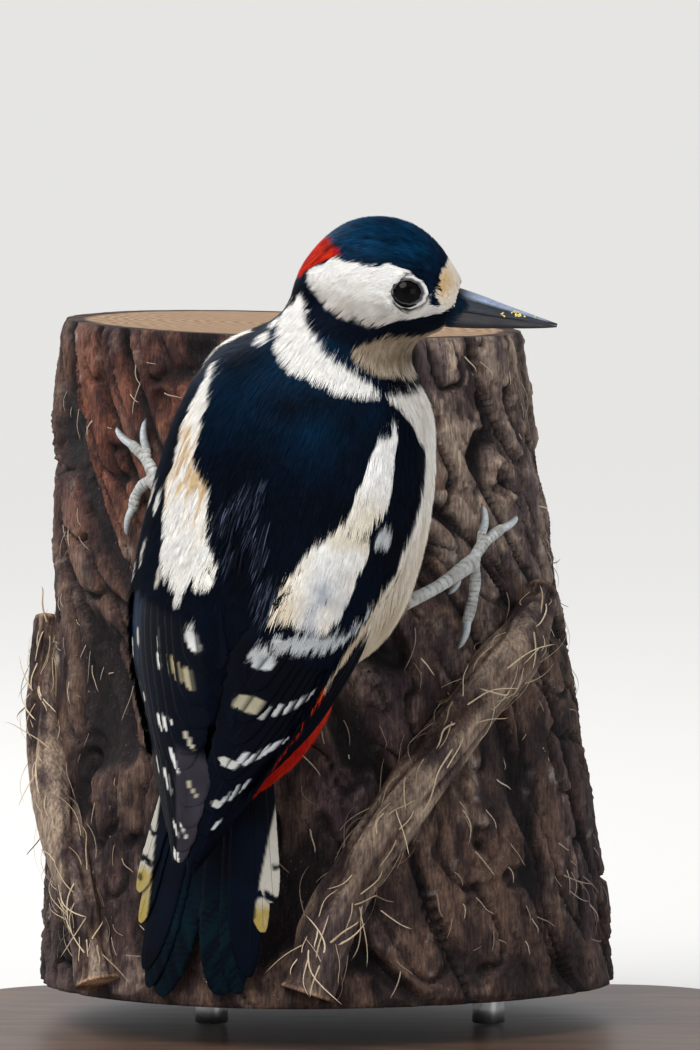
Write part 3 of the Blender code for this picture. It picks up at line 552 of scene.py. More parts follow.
# on each wing: place along, degrees round, length, width, slant in degrees, and 0 for white to 1 for buff
WING_SPOTS = {
    1: ((-21.6, 19.5, 4.4, 4.2, 0, 0.05), (-21.0, 26.5, 4.6, 3.4, 6, 0), (-20.3, 32.5, 5.2, 3.4, 10, 0),
        (-19.4, 38.5, 5.2, 2.8, 14, 0), (-18.4, 43.5, 4.6, 1.3, 20, 0), (-16.8, 47.5, 4.4, 0.9, 20, 0),
        (-14.8, 50.5, 5.0, 0.7, 20, 0), (-26.6, 13.5, 4.6, 6.0, -10, 0.05),
        (-39.4, 14.0, 4.6, 7.8, -4, 0.75), (-40.4, 23.0, 4.4, 2.6, 10, 0.25),
        (-39.2, 28.0, 3.8, 2.0, 16, 0.1), (-38.0, 32.5, 3.8, 1.6, 18, 0.1), (-36.4, 36.5, 4.8, 1.2, 20, 0),
        (-34.8, 40.0, 5.6, 0.9, 22, 0), (-32.6, 43.5, 5.2, 0.7, 22, 0), (-56.8, 14.0, 2.4, 4.6, 4, 0.3),
        (-54.4, 23.5, 3.4, 2.2, 16, 0.1), (-52.8, 30.5, 7.2, 1.1, 22, 0), (-50.8, 36.0, 7.6, 1.0, 22, 0),
        (-48.4, 41.0, 5.0, 0.6, 22, 0), (-65.4, 26.5, 6.2, 1.1, 22, 0), (-63.8, 33.5, 7.4, 0.9, 22, 0),
        (-68.9, 17, 1.8, 2.4, 0, 0.3), (-74.5, 27, 3.4, 0.6, 18, 0), (8.8, 52.8, 4.8, 4.2, 8, 0.05),
        (-10.7, 54, 1.8, 1.0, 0, 0)),
    -1: ((-2.0, 60, 5.6, 2.4, 0, 0.05), (-16.1, 64, 6.4, 1.4, 4, 0.3), (-17.6, 44, 5.0, 1.3, 4, 0.3),
         (-35.6, 60, 4.4, 1.1, 8, 0.6), (-33.0, 39, 8.0, 0.9, 6, 0.1), (-37.4, 38, 4.6, 1.6, 6, 0.1),
         (-27.9, 18.5, 5.6, 3.2, 34, 0), (-37.4, 26.0, 6.4, 2.6, 22, 0.95),
         (-38.4, 18.5, 5.8, 2.6, 22, 0.8), (-37.0, 31.5, 5.0, 0.6, 12, 0.5), (-50.0, 57, 2.2, 0.8, 8, 0.3),
         (-53.5, 40, 4.2, 0.9, 10, 0), (-53.2, 35.5, 3.8, 0.9, 10, 0), (-51.6, 30.5, 2.8, 0.7, 40, 0),
         (-54.4, 17, 5.0, 0.8, 36, 0.6), (-66.0, 56, 4.2, 0.7, 10, 0.1), (-61.6, 28, 6.2, 0.9, 22, 0),
         (-67.6, 40, 5.0, 0.9, 12, 0), (-68.6, 35, 5.0, 0.8, 12, 0), (-67.0, 11, 4.4, 0.7, 40, 0.7),
         (-79.4, 30, 4.2, 0.6, 22, 0.1), (-79.0, 16, 4.0, 0.6, 30, 0.3), (-86.0, 34, 2.8, 0.7, 10, 0),
         (-86.4, 27, 2.8, 0.7, 14, 0), (-2.0, 72, 6.0, 1.6, 0, 0.3), (-22.0, 74, 5.0, 1.6, 0, 0.2),
         (-40.0, 72, 5.0, 1.4, 0, 0.2)),
}
# how far the white of each wing's spots is dimmed, and the buff of spots on the coat and on the vanes
SPOT_WHITE = {1: np.array((0.60, 0.64, 0.68)), -1: np.array((0.74, 0.74, 0.74))}
SPOT_SQUARENESS = 2.6
COAT_SPOT_BUFF, VANE_SPOT_BUFF = (0.50, 0.42, 0.24), (0.36, 0.30, 0.15)


def mm_to_degree(side, place):
    """How many mm round the body a degree of a wing's chart takes up."""
    return np.radians(between([row[:3] for row in WINGS[side]], place).mean(-1))


def spot_share(side, place, angle, frayed):
    """How far each place of a wing lies in a pale spot, 0 to 1, and how buff that spot is."""
    scale = mm_to_degree(side, place)
    pale, tone = np.zeros_like(place), np.zeros_like(place)
    for middle, round_it, length, width, slant, kind in WING_SPOTS[side]:
        turn = math.radians(slant)
        up, out = place - middle, (angle - round_it) * scale
        long = (up * math.cos(turn) + out * math.sin(turn)) / (length / 2 + 0.1)
        short = (out * math.cos(turn) - up * math.sin(turn)) / (width / 2 + 0.1)
        reach = (np.abs(long) ** SPOT_SQUARENESS + np.abs(short) ** SPOT_SQUARENESS) ** (1 / SPOT_SQUARENESS)
        reach = reach + frayed
        share = smooth(1.10, 0.90, reach)
        pale, tone = np.maximum(pale, share), np.where(share > 0, kind, tone)
    return pale, tone


def coat_colours(points, ragged=0.5):
    """The coat's colour at places in mm, and how glossy it is: 1 on dark feathers and 0 on pale ones.

    Marks are painted one over another, and each has its edge on a chart, frayed by ragged mm.
    """
    points = points + np.column_stack([cloud(points, 1.6, seed) for seed in (1, 2, 3)]) * ragged
    forward, up, sideways = head_chart(points)
    share, turn = neck_chart(points)
    place, angle = body_chart(points)
    lift = cloud(points, 9.0, 4, 2)
    fine = cloud(points, 2.2, 5, 2)
    count = len(points)
    on_head, on_neck = share > 0.8, (share > 0.02) & (share <= 1.01)

    colour = blend(INK, NAVY, 0.45 + 0.5 * lift)
    # painted sheen: the shoulders near the neck are blended to MIDNIGHT, a bright blue standing in for the
    # feathers' glossy reflection
    shoulder_sheen = smooth(14, 44, place) * smooth(80, 25, np.abs(angle + 12)) * (share < 0.6)
    colour = blend(colour, MIDNIGHT, shoulder_sheen * (0.45 + 0.45 * lift))
    crown = on_head & (up > -2)
    # painted sheen: the crown is blended bluer towards its top and back
    sheen = smooth(5, 12, up) * smooth(17, 4, forward)
    colour[crown] = blend(NAVY, MIDNIGHT, 0.12 + sheen * (0.85 + 0.5 * lift))[crown]
    gloss = np.ones(count)
    hairline = cloud(np.column_stack((forward * 0.22, up * 1.2, sideways * 1.2)), 1.0, 6, 2)
    barbline = cloud(np.column_stack((place * 0.15, np.radians(angle) * 28, 0 * place)), 1.1, 7, 2)
    colour[crown] *= np.clip(1 + 0.9 * hairline, 0.3, 2.0)[crown, None]

    def paint(where, with_colour, shine=0.0):
        colour[where] = np.broadcast_to(with_colour, (count, 3))[where]
        gloss[where] = shine

    belly = blend(WHITE, CREAM, 0.25 + 0.75 * smooth(24, -20, place) + 0.25 * lift)
    belly = blend(belly, CLAY, 0.12 + 0.75 * smooth(16, -26, place) + 0.2 * fine + 0.55 * barbline)
    edge = breast_edge(place, angle)
    paint((share < 0.30) & (np.abs(angle) > edge), belly)
    vent = (place < -32.6 + 1.2 * fine) & (np.abs(angle) > edge)
    paint(vent, blend(SCARLET, VERMILION, 0.15 + smooth(-48, -34, place) * 0.85 + 0.3 * fine))
    throat = on_neck & (up < -5) & inside(share, np.abs(turn), COLLAR_FRONT)
    throat |= on_head & inside(forward, up, CHIN)
    # the throat runs from cream low down to dark brown towards the chin: its own buff, darkened near the chin
    # as painted shade under the bill
    clear_of_chin_shade = smooth(0.54, 0.32, share)
    paint(throat, blend(STONE, CREAM, 0.05 + 0.80 * clear_of_chin_shade + 0.25 * fine))
    patch = inside(share, np.where(turn > -22, turn, -76 - turn), NECK_PATCH) & ((turn > -22) | (turn < -82))
    patch |= inside(share, turn, NAPE_STRIPE) | inside(share, turn, NAPE_OVAL)
    paint(on_neck & patch, blend(WHITE, CREAM, 0.08 + 0.3 * fine))
    left = inside(place, angle, LEFT_BLAZE) & (share < 0.3)
    streak = cloud(np.column_stack((place * 0.25, angle * 0.8, 0 * place)), 1.1, 8)
    stain = np.clip(0.70 - np.abs(place - 9) / 8 + 1.5 * streak, 0, 0.8)
    paint(left, blend(blend(WHITE, CREAM, 0.2 + 0.4 * fine), BUFF, stain))
    right = inside(place, angle, RIGHT_BLAZE) & (share < 0.3)
    lower = smooth(7, 3, place)
    warm = smooth(26, 12, place) * (1 - lower) + lower * smooth(30, 12, angle) + 0.5 * lift + 0.3 * fine
    warm = np.clip(warm, 0, 1)
    pale = blend(blend(WHITE, CREAM, warm), BUFF, 0.35 * warm * lower * smooth(-4, -12, place))
    patchy = np.clip(0.6 + 0.9 * cloud(points, 3.5, 9), 0, 1)
    # painted shade: the lower outer part of the right blaze is blended to a blue-grey
    blaze_shade = lower * smooth(20, 32, angle) * smooth(2, -6, place) * patchy
    paint(right, blend(pale, BLAZE_SHADE_GREY, blaze_shade * 0.85))
    paint(right & (nearest_of(place, angle, CREASE) < CREASE_HALF_WIDTH), INK, 1.0)

    cheek = on_head & inside(forward, up, CHEEK)
    hairs = blend(WHITE, CREAM, 0.05 + 0.40 * smooth(1, -9, up) + 0.3 * fine)
    # painted shade: the cheek darkens to a grey-brown towards its lower edge, and the same tone gives hair
    # streaks towards its back
    wear_and_shade = 0.78 * smooth(4, -8, up) * (1 + 0.6 * fine) + 0.30 * hairline * smooth(9, 2, forward)
    paint(cheek, blend(hairs, CHEEK_SHADE_AND_STREAKS, wear_and_shade))
    brow = on_head & inside(forward, up, BROW)
    yellow = np.exp(-((forward - 14.4) ** 2 + (up - 4.4) ** 2) / 11.0)
    paint(brow, blend(blend(WHITE, CREAM, 0.5 + 0.3 * fine), BUFF, 0.14 + 0.80 * yellow + 0.25 * fine))
    wing = (share < 0.02) & (place > -28) & (place < 16)
    for side in SIDES:
        pale, kind = spot_share(side, place, angle * side, 0.0)
        tone = blend(WHITE * SPOT_WHITE[side], COAT_SPOT_BUFF, kind)
        here = wing & (angle * side > 0)
        colour = np.where(here[:, None], mixed(colour, tone, pale), colour)
        gloss = np.where(here, gloss * (1 - pale), gloss)
    nape = on_head & inside(forward, up, NAPE)
    streaks = np.clip(1 + 1.1 * hairline, 0.25, 1.4)[:, None]
    paint(nape, blend(SCARLET, VERMILION, 0.10 + 0.5 * fine) * streaks)
    return colour * (1.0 + 0.10 * fine[:, None]), gloss


# The coat


# the line from the bill, through the head and the neck, to the tail
CENTRE_LINE = np.array([HEAD.out(p) for p in ((0, 22, -2), (0, 8, 3), (0, -7, -3))]
                       + [TORSO.out(p) for p in ((-1.5, 46, 0.5), (0, 28, 0), (0, 0, 0), (0, -40, 0))]
                       + [TAIL_ROOT, TAIL_TIP])


def lie(points, normals):
    """The way that feathers lie at places on the body: along the bird to its tail, and round the eyes."""
    total = np.zeros_like(points)
    for start, end in zip(CENTRE_LINE, CENTRE_LINE[1:]):
        run = end - start
        t = np.clip((points - start) @ run / (run @ run), 0, 1)
        gap = np.linalg.norm(points - start - run * t[:, None], axis=1)
        total += unit(run) / (gap[:, None] ** 2 + 9.0) ** 2
    way = unit(total)
    for side in SIDES:
        off = points - HEAD.out(EYE_PLACE * (side, 1, 1))
        near = np.exp(-((np.linalg.norm(off, axis=1) / 6.0) ** 2))[:, None]
        way = unit(way + 1.1 * near * unit(off))
    return unit(way - normals * (way * normals).sum(1)[:, None])


def walk(form, roots, normals, reach, steps=3):
    """Places, normals and ways along the lie of the coat from each root."""
    places, faces, ways = [roots], [normals], [lie(roots, normals)]
    for _ in range(steps):
        ahead = places[-1] + ways[-1] * (reach / steps)[:, None]
        at, normal = form.nearest(ahead)
        places.append(at)
        faces.append(normal)
        ways.append(unit(ways[-1] * 0.4 + lie(at, normal)))
    return [np.stack(values, 1) for values in (places, faces, ways)]


def hair_tufts(seed, kinds, blades, spread, stations=3):
    """Tufts of fine hair-like barbs: across in half widths, along in shares of length, and up in mm."""
    chance = np.random.default_rng(seed)
    pick = lambda low, high: chance.uniform(low, high, (kinds, blades, 1))
    vary = lambda size: chance.normal(0, size, (kinds, blades, 1))
    root = pick(-0.55, 0.55)
    drift = root * pick(0.5, 1.2) + vary(spread)
    start = pick(-0.18, 0.22)
    end = pick(0.72, 1.10)
    t = np.linspace(0, 1, stations)[None, None]
    across = root + drift * t**1.4
    up = -0.55 + 0.95 * np.sin(np.minimum(t * 1.25, 1) * np.pi / 2) + vary(0.10) * t
    return np.stack((across, start + (end - start) * t, np.broadcast_to(up, across.shape)), -1)


def soft_tufts(seed, kinds, blades, loose, stations=2):
    """Soft body feathers: barbs side by side, which end on a rounded and slightly ragged line."""
    chance = np.random.default_rng(seed)
    vary = lambda size: chance.normal(0, size, (kinds, blades, 1))
    root = np.linspace(-0.92, 0.92, blades)[None, :, None] + vary(0.05)
    t = np.linspace(0, 1, stations)[None, None]
    across = root * (0.62 + 0.38 * t) + vary(loose) * t
    start, end = vary(0.05), 1.02 - 0.34 * root**2 + vary(loose * 0.8)
    up = -0.50 + 0.85 * np.sin(np.minimum(t * 1.25, 1) * np.pi / 2) - 0.14 * across**2 + vary(0.05) * t
    return np.stack((across, start + (end - start) * t, up), -1)


BAKE_PATCH = 0.003  # width of a tuft's patch in the bake map
VARIED = (0.85, 1.15)  # how far lengths, widths and thicknesses stray from their sizes
LOOSE = (0.2, 1.6)  # how far the tufts of a loose coat lift, as shares of its lift
SKEW, TUFT_BOW = 0.24, 0.012  # sideways lean of a tuft in half widths, and how it bows to the body
ROOT_SHADE, TIP_SHADE = 0.84, 1.04
TONE_STRAY, TONE_STRAY_DARK, TONE_STRAY_RED = 0.11, 0.38, 0.22


def bake_place(points):
    """Where a root falls on the unwrapped skin."""
    place, angle = body_chart(points)
    share, turn = neck_chart(points)
    forward, up, sideways = head_chart(points)
    round_head = np.degrees(np.arctan2(sideways, up))
    on_head, on_neck = share > 0.93, share > 0.3
    u = np.where(on_head, round_head, np.where(on_neck, turn, angle)) / 360.0 + 0.5
    v = np.where(on_head, 0.70 + (24.0 - forward) / 44.0 * 0.29, (np.minimum(place, 54.0) + 96.0) / 220.0)
    return np.column_stack((u, v))


def tract(name, form, slot, finish, zone, spacing, reach, half_width, barb, tufts, seed, depth, colour_at=0.7,
          ragged=0.4, lift=None, tone=None):
    """One coat piece: tufts rooted over a zone of the body, every barb a thin closed three-sided blade.

    The zone and the sizes are functions of places. Spacing, reach, half_width, barb (a barb's
    thickness), depth and lift are in mm. colour_at is the share of a barb at which its colour is
    taken, and tone is a colour that a few barbs turn to.
    """
    chance = np.random.default_rng(seed)
    roots, normals = form.scatter(spacing, zone, seed)
    reaches = reach(roots) * chance.uniform(*VARIED, len(roots))
    places, faces, ways = walk(form, roots, normals, reaches)
    steps = places.shape[1] - 1
    kind = chance.integers(0, len(tufts), len(roots))
    shape = tufts[kind]
    count, blades, stations = shape.shape[:3]
    widths = half_width(roots)[:, None, None] * chance.uniform(*VARIED, (count, 1, 1))
    across, place, up = shape[..., 0] * widths, shape[..., 1], shape[..., 2] * depth(roots)[:, None, None]
    across = across + chance.normal(0, SKEW, (count, 1, 1)) * widths * place
    if lift is not None:
        loose = chance.uniform(*LOOSE, (count, 1, 1))
        up = up + lift(roots)[:, None, None] * np.clip(place, 0, 1) ** 2 * loose
    cell = np.clip((place * steps).astype(int), 0, steps - 1)
    part = (place * steps - cell)[..., None]
    who = np.arange(count)[:, None, None]
    mix = lambda values: values[who, cell] * (1 - part) + values[who, cell + 1] * part
    centre, normal, way = mix(places), unit(mix(faces)), unit(mix(ways))
    side = np.cross(way, normal)
    centre = centre + side * across[..., None] + normal * (up - TUFT_BOW * across**2)[..., None]
    t = np.linspace(0, 1, stations)
    thick = barb(roots)[:, None, None] * (0.75 + 0.55 * np.sin(np.pi * (0.15 + 0.75 * t)))[None, None]
    thick = thick * chance.uniform(*VARIED, (count, blades, 1))
    flat = lambda values: np.broadcast_to(values, centre.shape[:3] + values.shape[3:]).reshape(
        count * blades, stations, *values.shape[3:])
    points, facing, faces = slivers(flat(centre), flat(normal), flat(thick))
    each = points.shape[1]

    sample = centre[:, :, 1] * (1 - colour_at) + centre[:, :, -1] * colour_at
    colours, gloss = coat_colours(sample.reshape(-1, 3), ragged)
    if tone is not None:
        colours = blend(colours, tone, chance.random(count * blades) ** 4)
    red = colours[:, 0] > 4 * colours[:, 1]
    stray = (TONE_STRAY + TONE_STRAY_DARK * gloss + TONE_STRAY_RED * red)[:, None]
    colours = colours * (1 + chance.uniform(-1, 1, (count * blades, 1)) * stray)
    shade = np.append(np.repeat(np.linspace(ROOT_SHADE, 1.0, stations)[:-1], 3), TIP_SHADE)
    colours = colours[:, None] * shade[None, :, None]
    gloss = np.repeat(gloss, each)

    spot = bake_place(roots)
    patch = np.stack((across / widths * 0.4 + 0.5, np.clip(place, 0, 1)), -1) * BAKE_PATCH
    patch = patch.reshape(count * blades, stations, 2) + np.repeat(spot, blades, 0)[:, None]
    uv = np.concatenate((np.repeat(patch[:, :-1], 3, 1), patch[:, -1:]), 1)

    made = mesh_piece(name, points.reshape(-1, 3), faces, colours.reshape(-1, 3), {"gloss": gloss},
                      uv.reshape(-1, 2), facing.reshape(-1, 3))
    return dress(made, finish, slot)


# Finishes


class Value:
    """An output in a finish, which adds its own maths nodes when it is used in an expression."""

    def __init__(self, finish, socket):
        self.finish, self.socket = finish, socket

    def maths(self, operation, *values):
        return self.finish.node("ShaderNodeMath", {"operation": operation}, *values)

    def __add__(self, other):
        return self.maths("ADD", self, other)

    def __sub__(self, other):
        return self.maths("SUBTRACT", self, other)

    def __rsub__(self, other):
        return self.maths("SUBTRACT", other, self)

    def __mul__(self, other):
        return self.maths("MULTIPLY", self, other)

    def __pow__(self, other):
        return self.maths("POWER", self, other)

    __radd__, __rmul__ = __add__, __mul__

    def clamped(self, low=0.0, high=1.0):
        return self.finish.node("ShaderNodeClamp", {}, self, low, high)

    def rise(self, low, high):
        """0 below low, 1 above high, smooth between."""
        return self.finish.node("ShaderNodeMapRange", {"interpolation_type": "SMOOTHSTEP"}, self, low, high)

    def sine(self):
        return self.maths("SINE", self)

    def size(self):
        return self.maths("ABSOLUTE", self)


class Finish:
    """A material built from expressions."""

    def __init__(self, name):
        self.material = bpy.data.materials.new(name)
        self.material.use_nodes = True
        self.tree = self.material.node_tree
        self.shader = self.tree.nodes["Principled BSDF"]

    def put(self, socket, value):
        if isinstance(value, Value):
            self.tree.links.new(value.socket, socket)
        elif isinstance(value, (tuple, list, np.ndarray)) and len(value) == 3 and socket.type == "RGBA":
            socket.default_value = (*value, 1.0)
        else:
            socket.default_value = value

    def node(self, kind, settings=None, *values, out=0, **named):
        made = self.tree.nodes.new(kind)
        for key, setting in (settings or {}).items():
            setattr(made, key, setting)
        for i, value in enumerate(values):
            self.put(made.inputs[i], value)
        for key, value in named.items():
            self.put(made.inputs[key.replace("_", " ")], value)
        return Value(self, made.outputs[out])

    def mix(self, share, start, end, how="MIX"):
        """A colour from start to end, or start as changed by end in another way."""
        made = self.tree.nodes.new("ShaderNodeMix")
        made.data_type, made.blend_type = "RGBA", how
        for i, value in ((0, share), (6, start), (7, end)):
            self.put(made.inputs[i], value)
        return Value(self, made.outputs[2])

    def place(self, scale=(1.0, 1.0, 1.0), turn=(0.0, 0.0, 0.0)):
        """Object places in mm, scaled and turned."""
        at = self.node("ShaderNodeTexCoord", out=3)
        return self.node("ShaderNodeMapping", {}, at, (0, 0, 0), turn, [s / MM for s in scale])

    def grain(self, at, scale, detail=4.0, rough=0.55, twist=0.0):
        return self.node("ShaderNodeTexNoise", {}, Vector=at, Scale=scale, Detail=detail, Roughness=rough,
                         Distortion=twist)

    def held(self, name, out=2):
        """A value kept on the mesh: out 0 is a colour, 1 a vector, 2 a number."""
        return self.node("ShaderNodeAttribute", {"attribute_name": name}, out=out)

    def parts(self, vector):
        made = self.node("ShaderNodeSeparateXYZ", {}, vector)
        return [Value(self, s) for s in made.socket.node.outputs]

    def tinted(self, low, high, share):
        """The mesh's own colours, dimmed by low where a share is 0 and by high where it is 1."""
        return self.mix(1.0, self.held("tint", 0), self.mix(share, low, high), "MULTIPLY")

    def bump(self, height, distance, strength=1.0):
        """A facing from a height, with a distance in mm."""
        return self.node("ShaderNodeBump", {}, Strength=strength, Distance=distance * MM, Height=height)

    def done(self, **sockets):
        for key, value in sockets.items():
            self.put(self.shader.inputs[key.replace("_", " ")], value)
        return self.material


def coat_finish():
    """Soft pale barbs and glossy blue-black ones, told apart by what the mesh keeps."""
    f = Finish("feather_coat")
    gloss, fleck = f.held("gloss"), f.grain(f.place(), 0.9, 3.0)
    rough = 0.72 - gloss * (0.30 - 0.16 * fleck)
    return f.done(Base_Color=f.tinted((0.90, 0.90, 0.91), (1.08, 1.07, 1.05), fleck),
                  Roughness=rough.clamped(0.25, 1.0), Metallic=gloss * 0.35, Specular_IOR_Level=0.05)


# Flight feathers


def wing_face(side):
    """Two functions of a folded wing's chart: the first carries places to the model, the second gives mm to
    a degree."""
    rows = [row[:3] for row in WINGS[side]]

    def carry(place, angle, depth):
        size, turn = between(rows, place), np.radians(angle)
        off = np.stack((np.sin(turn) * side, np.zeros_like(turn), np.cos(turn)), -1)
        face = np.stack((size[..., 0] * np.sin(turn) * side, place, size[..., 1] * np.cos(turn)), -1)
        return TORSO.out(face - off * depth[..., None])

    return carry, lambda place: mm_to_degree(side, place)


def tail_face(along, across, depth):
    return TAIL.out(np.stack((across, along, -0.010 * across**2 - depth), -1))


def turned_out(faces, points, sample, outward):
    """Faces, reversed if the sample one of them faces inward."""
    a, b, c = points[faces[sample, :3]]
    return faces[:, ::-1] if np.cross(b - a, c - b) @ outward < 0 else faces


VANE_POINTS = 13  # across each vane
BAKE_CELLS = 6  # feathers along each side of a bake map
CELL_REACH, CELL_LENGTH, CELL_START = 0.48, 0.96, 0.02  # the part of its cell that a feather takes up
ROWS_TO_TIP = 1.25  # how far the rows of a vane crowd to its tip
EDGE_WANDER = 0.022  # of a vane's width
NARROWEST = 0.03  # share of its width that a vane keeps at its end
SHAFT_PROFILE = ((-1, -0.06), (-0.4, 0.9), (0.4, 0.9), (1, -0.06))  # across and up
SHAFT_END, SHAFT_THICKNESS, SHAFT_GLOSS = 0.985, 0.34, 0.4


class Quills:
    """Flight feathers gathered into one piece: closed vanes with a raised shaft and barbed edges."""

    def __init__(self, carry, scale, seed):
        self.carry, self.scale, self.chance = carry, scale, np.random.default_rng(seed)
        self.parts, self.count, self.feathers = [], 0, 0

    def keep(self, faces, points, *values):
        """Takes in closed faces, their points, and the points' colours, gloss, vane and bake places."""
        self.parts.append((faces + self.count, points, *values))
        self.count += len(points)

    def feather(self, root, tip, width, paint, outer=1, bow=0.0, depth=(1.0, 1.0), tilt=0.5, rounding=0.84,
                web=0.36, step=0.8, thick=0.24, waist=0.35):
        """One feather from root to tip of the chart.

        web is the share of its width outside the shaft, rounding the share of its length at which its
        end begins, and waist its width at the root over its full width.
        """
        (y0, a0), (y1, a1) = root, tip
        length = math.hypot(y1 - y0, (a1 - a0) * float(self.scale(np.array((y0 + y1) / 2))))
        rows, across = max(int(length / step), 8), VANE_POINTS
        t = 1.0 - (1.0 - np.linspace(0, 1, rows)) ** ROWS_TO_TIP
        place = y0 + (y1 - y0) * t
        angle = a0 + (a1 - a0) * t + bow * np.sin(np.pi * t)
        scale = self.scale(place)
        run = unit(np.stack((np.gradient(place), np.gradient(angle) * scale), -1))
        side = np.stack((-run[:, 1], run[:, 0]), -1) * (np.sign(y1 - y0) * outer)
        end = (np.clip(t - rounding, 0, 1) / (1 - rounding + 0.004)) ** 2
        blade = (waist + (1 - waist) * smooth(0, 0.35, t)) * np.sqrt(np.clip(1 - end, 0.0, 1))
        blade = np.maximum(blade, NARROWEST)
        s = np.linspace(-1, 1, across)
        wide = np.where(s < 0, 1 - web, web) * width
        wander = 1 + EDGE_WANDER * self.chance.normal(0, 1, (rows, 2))
        edge = np.where(s[None] < 0, wander[:, :1], wander[:, 1:]) ** (s[None] ** 6)
        u = s * wide * blade[:, None] * edge
        y = place[:, None] + side[:, :1] * u
        a = angle[:, None] + side[:, 1:] * u / scale[:, None]
        level = depth[0] + (depth[1] - depth[0]) * t[:, None] - tilt * 0.5 * s + 0.10 * s**2
        top = self.carry(y, a, level)
        under = self.carry(y, a, level + thick * (1 - 0.6 * s**2))
        colours, gloss = paint(y, a, u)
        vane = np.stack((u, t[:, None] * length + 0 * u, np.full_like(u, self.feathers * 3.7)), -1)
        cell = np.array((self.feathers % BAKE_CELLS, self.feathers // BAKE_CELLS)) / BAKE_CELLS
        uv = (s[None] * CELL_REACH + 0.5 + 0 * u, t[:, None] * CELL_LENGTH + CELL_START + 0 * u)
        uv = np.stack(uv, -1) / BAKE_CELLS + cell
        self.feathers += 1

        grid = np.arange(rows * across).reshape(rows, across)
        quads = np.stack((grid[:-1, :-1], grid[:-1, 1:], grid[1:, 1:], grid[1:, :-1]), -1).reshape(-1, 4)
        rim = np.concatenate((grid[0, :-1], grid[:-1, -1], grid[-1, :0:-1], grid[:0:-1, 0]))
        ahead, shift = np.roll(rim, -1), rows * across
        walls = np.stack((ahead, rim, rim + shift, ahead + shift), -1)
        points = np.concatenate((top.reshape(-1, 3), under.reshape(-1, 3)))
        outward = top[rows // 2, across // 2] - under[rows // 2, across // 2]
        faces = np.concatenate((quads, quads[:, ::-1] + shift, walls))
        faces = turned_out(faces, points, len(quads) // 2, outward)
        both = lambda values: np.concatenate([values.reshape(rows * across, -1)] * 2)
        self.keep(faces, points, both(colours), np.tile(gloss.reshape(-1), 2), both(vane), both(uv))
        self.shaft(t, place, angle, level[:, across // 2], scale, side, length, cell, colours[:, across // 2])

    def shaft(self, t, place, angle, level, scale, side, length, cell, colours):
        """The raised rib along the middle of a feather."""
        keep = t < SHAFT_END
        t, place, angle, level, scale, side = (v[keep] for v in (t, place, angle, level, scale, side))
        thick = SHAFT_THICKNESS * (1 - 0.75 * t)
        rings = []
        for across, rise in SHAFT_PROFILE:
            u = across * thick * 0.5
            rings.append(self.carry(place + side[:, 0] * u, angle + side[:, 1] * u / scale,
                                    level - rise * thick * 0.6))
        points = np.stack(rings, 1).reshape(-1, 3)
        rows, count = len(t), len(points)
        grid = np.arange(count).reshape(rows, 4)
        ahead = np.roll(grid, -1, 1)
        quads = np.stack((grid[:-1], ahead[:-1], ahead[1:], grid[1:]), -1).reshape(-1, 4)
        middle = points.reshape(rows, 4, 3)[rows // 2]
        outward = middle[1] + middle[2] - middle[0] - middle[3]
        faces = np.concatenate((quads, grid[:1, ::-1], grid[-1:]))
        faces = turned_out(faces, points, rows // 2 * 4 + 1, outward)
        vane = np.stack((np.zeros(count), np.repeat(t * length, 4), np.zeros(count)), -1)
        uv = (np.full(count, 0.5), np.repeat(t, 4) * CELL_LENGTH + CELL_START)
        uv = np.stack(uv, -1) / BAKE_CELLS + cell
        dark = np.repeat(colours[keep] * 0.6 + 0.010, 4, 0)
        self.keep(faces, points, dark, np.full(count, SHAFT_GLOSS), vane, uv)

    def piece(self, name, finish, slot, *nodes):
        faces, points, colours, gloss, vane, uv = (np.concatenate(values) for values in zip(*self.parts))
        made = mesh_piece(name, points, [faces], colours, {"gloss": gloss, "vane": vane}, uv)
        return dress(made, finish, slot, *nodes)


WING_SHEEN_BLUE, WING_WORN = (0.006, 0.022, 0.060), (0.046, 0.041, 0.056)


def wing_paint(side):
    """Colours for the places of a wing: black with rows of pale spots, edges of wear, and a painted blue
    sheen on the left wing.
    """
    def paint(y, a, u):
        at = np.stack((y, a * 0.5, np.full_like(y, 7.0 * side)), -1)
        lift = cloud(at, 9.0, 12, 2)
        fine = cloud(at * (0.5, 3.0, 1), 1.6, 13, 2)
        colour = blend(INK, NAVY, 0.15 + 0.35 * lift)
        if side < 0:
            # painted sheen: part of the left wing is blended to a glossy blue
            blue = smooth(50, 62, a) * smooth(-48, -30, y) * smooth(8, -4, y) * (0.7 + 0.5 * lift)
            wear_and_shade = smooth(-56, -60, y) * smooth(29, 25, a) * (0.8 + 0.3 * lift)
            colour = mixed(mixed(colour, WING_SHEEN_BLUE, blue), WING_WORN, wear_and_shade)
        pale, kind = spot_share(side, y, a, 0.16 * fine)
        pale = pale * smooth(3.1, 2.3, np.abs(u)) * (1 - 0.7 * smooth(0.35, 0.12, np.abs(u)))
        tone = mixed(WHITE * SPOT_WHITE[side], VANE_SPOT_BUFF, kind) * (0.90 + 0.12 * fine[..., None])
        return mixed(colour, tone, pale), 1 - pale

    return paint


def at_share(side, place, share):
    """Degrees round at a share of a wing's width."""
    inner, outer = between([(row[0], row[3], row[4]) for row in WINGS[side]], np.array(float(place)))
    return float(inner + (outer - inner) * share)


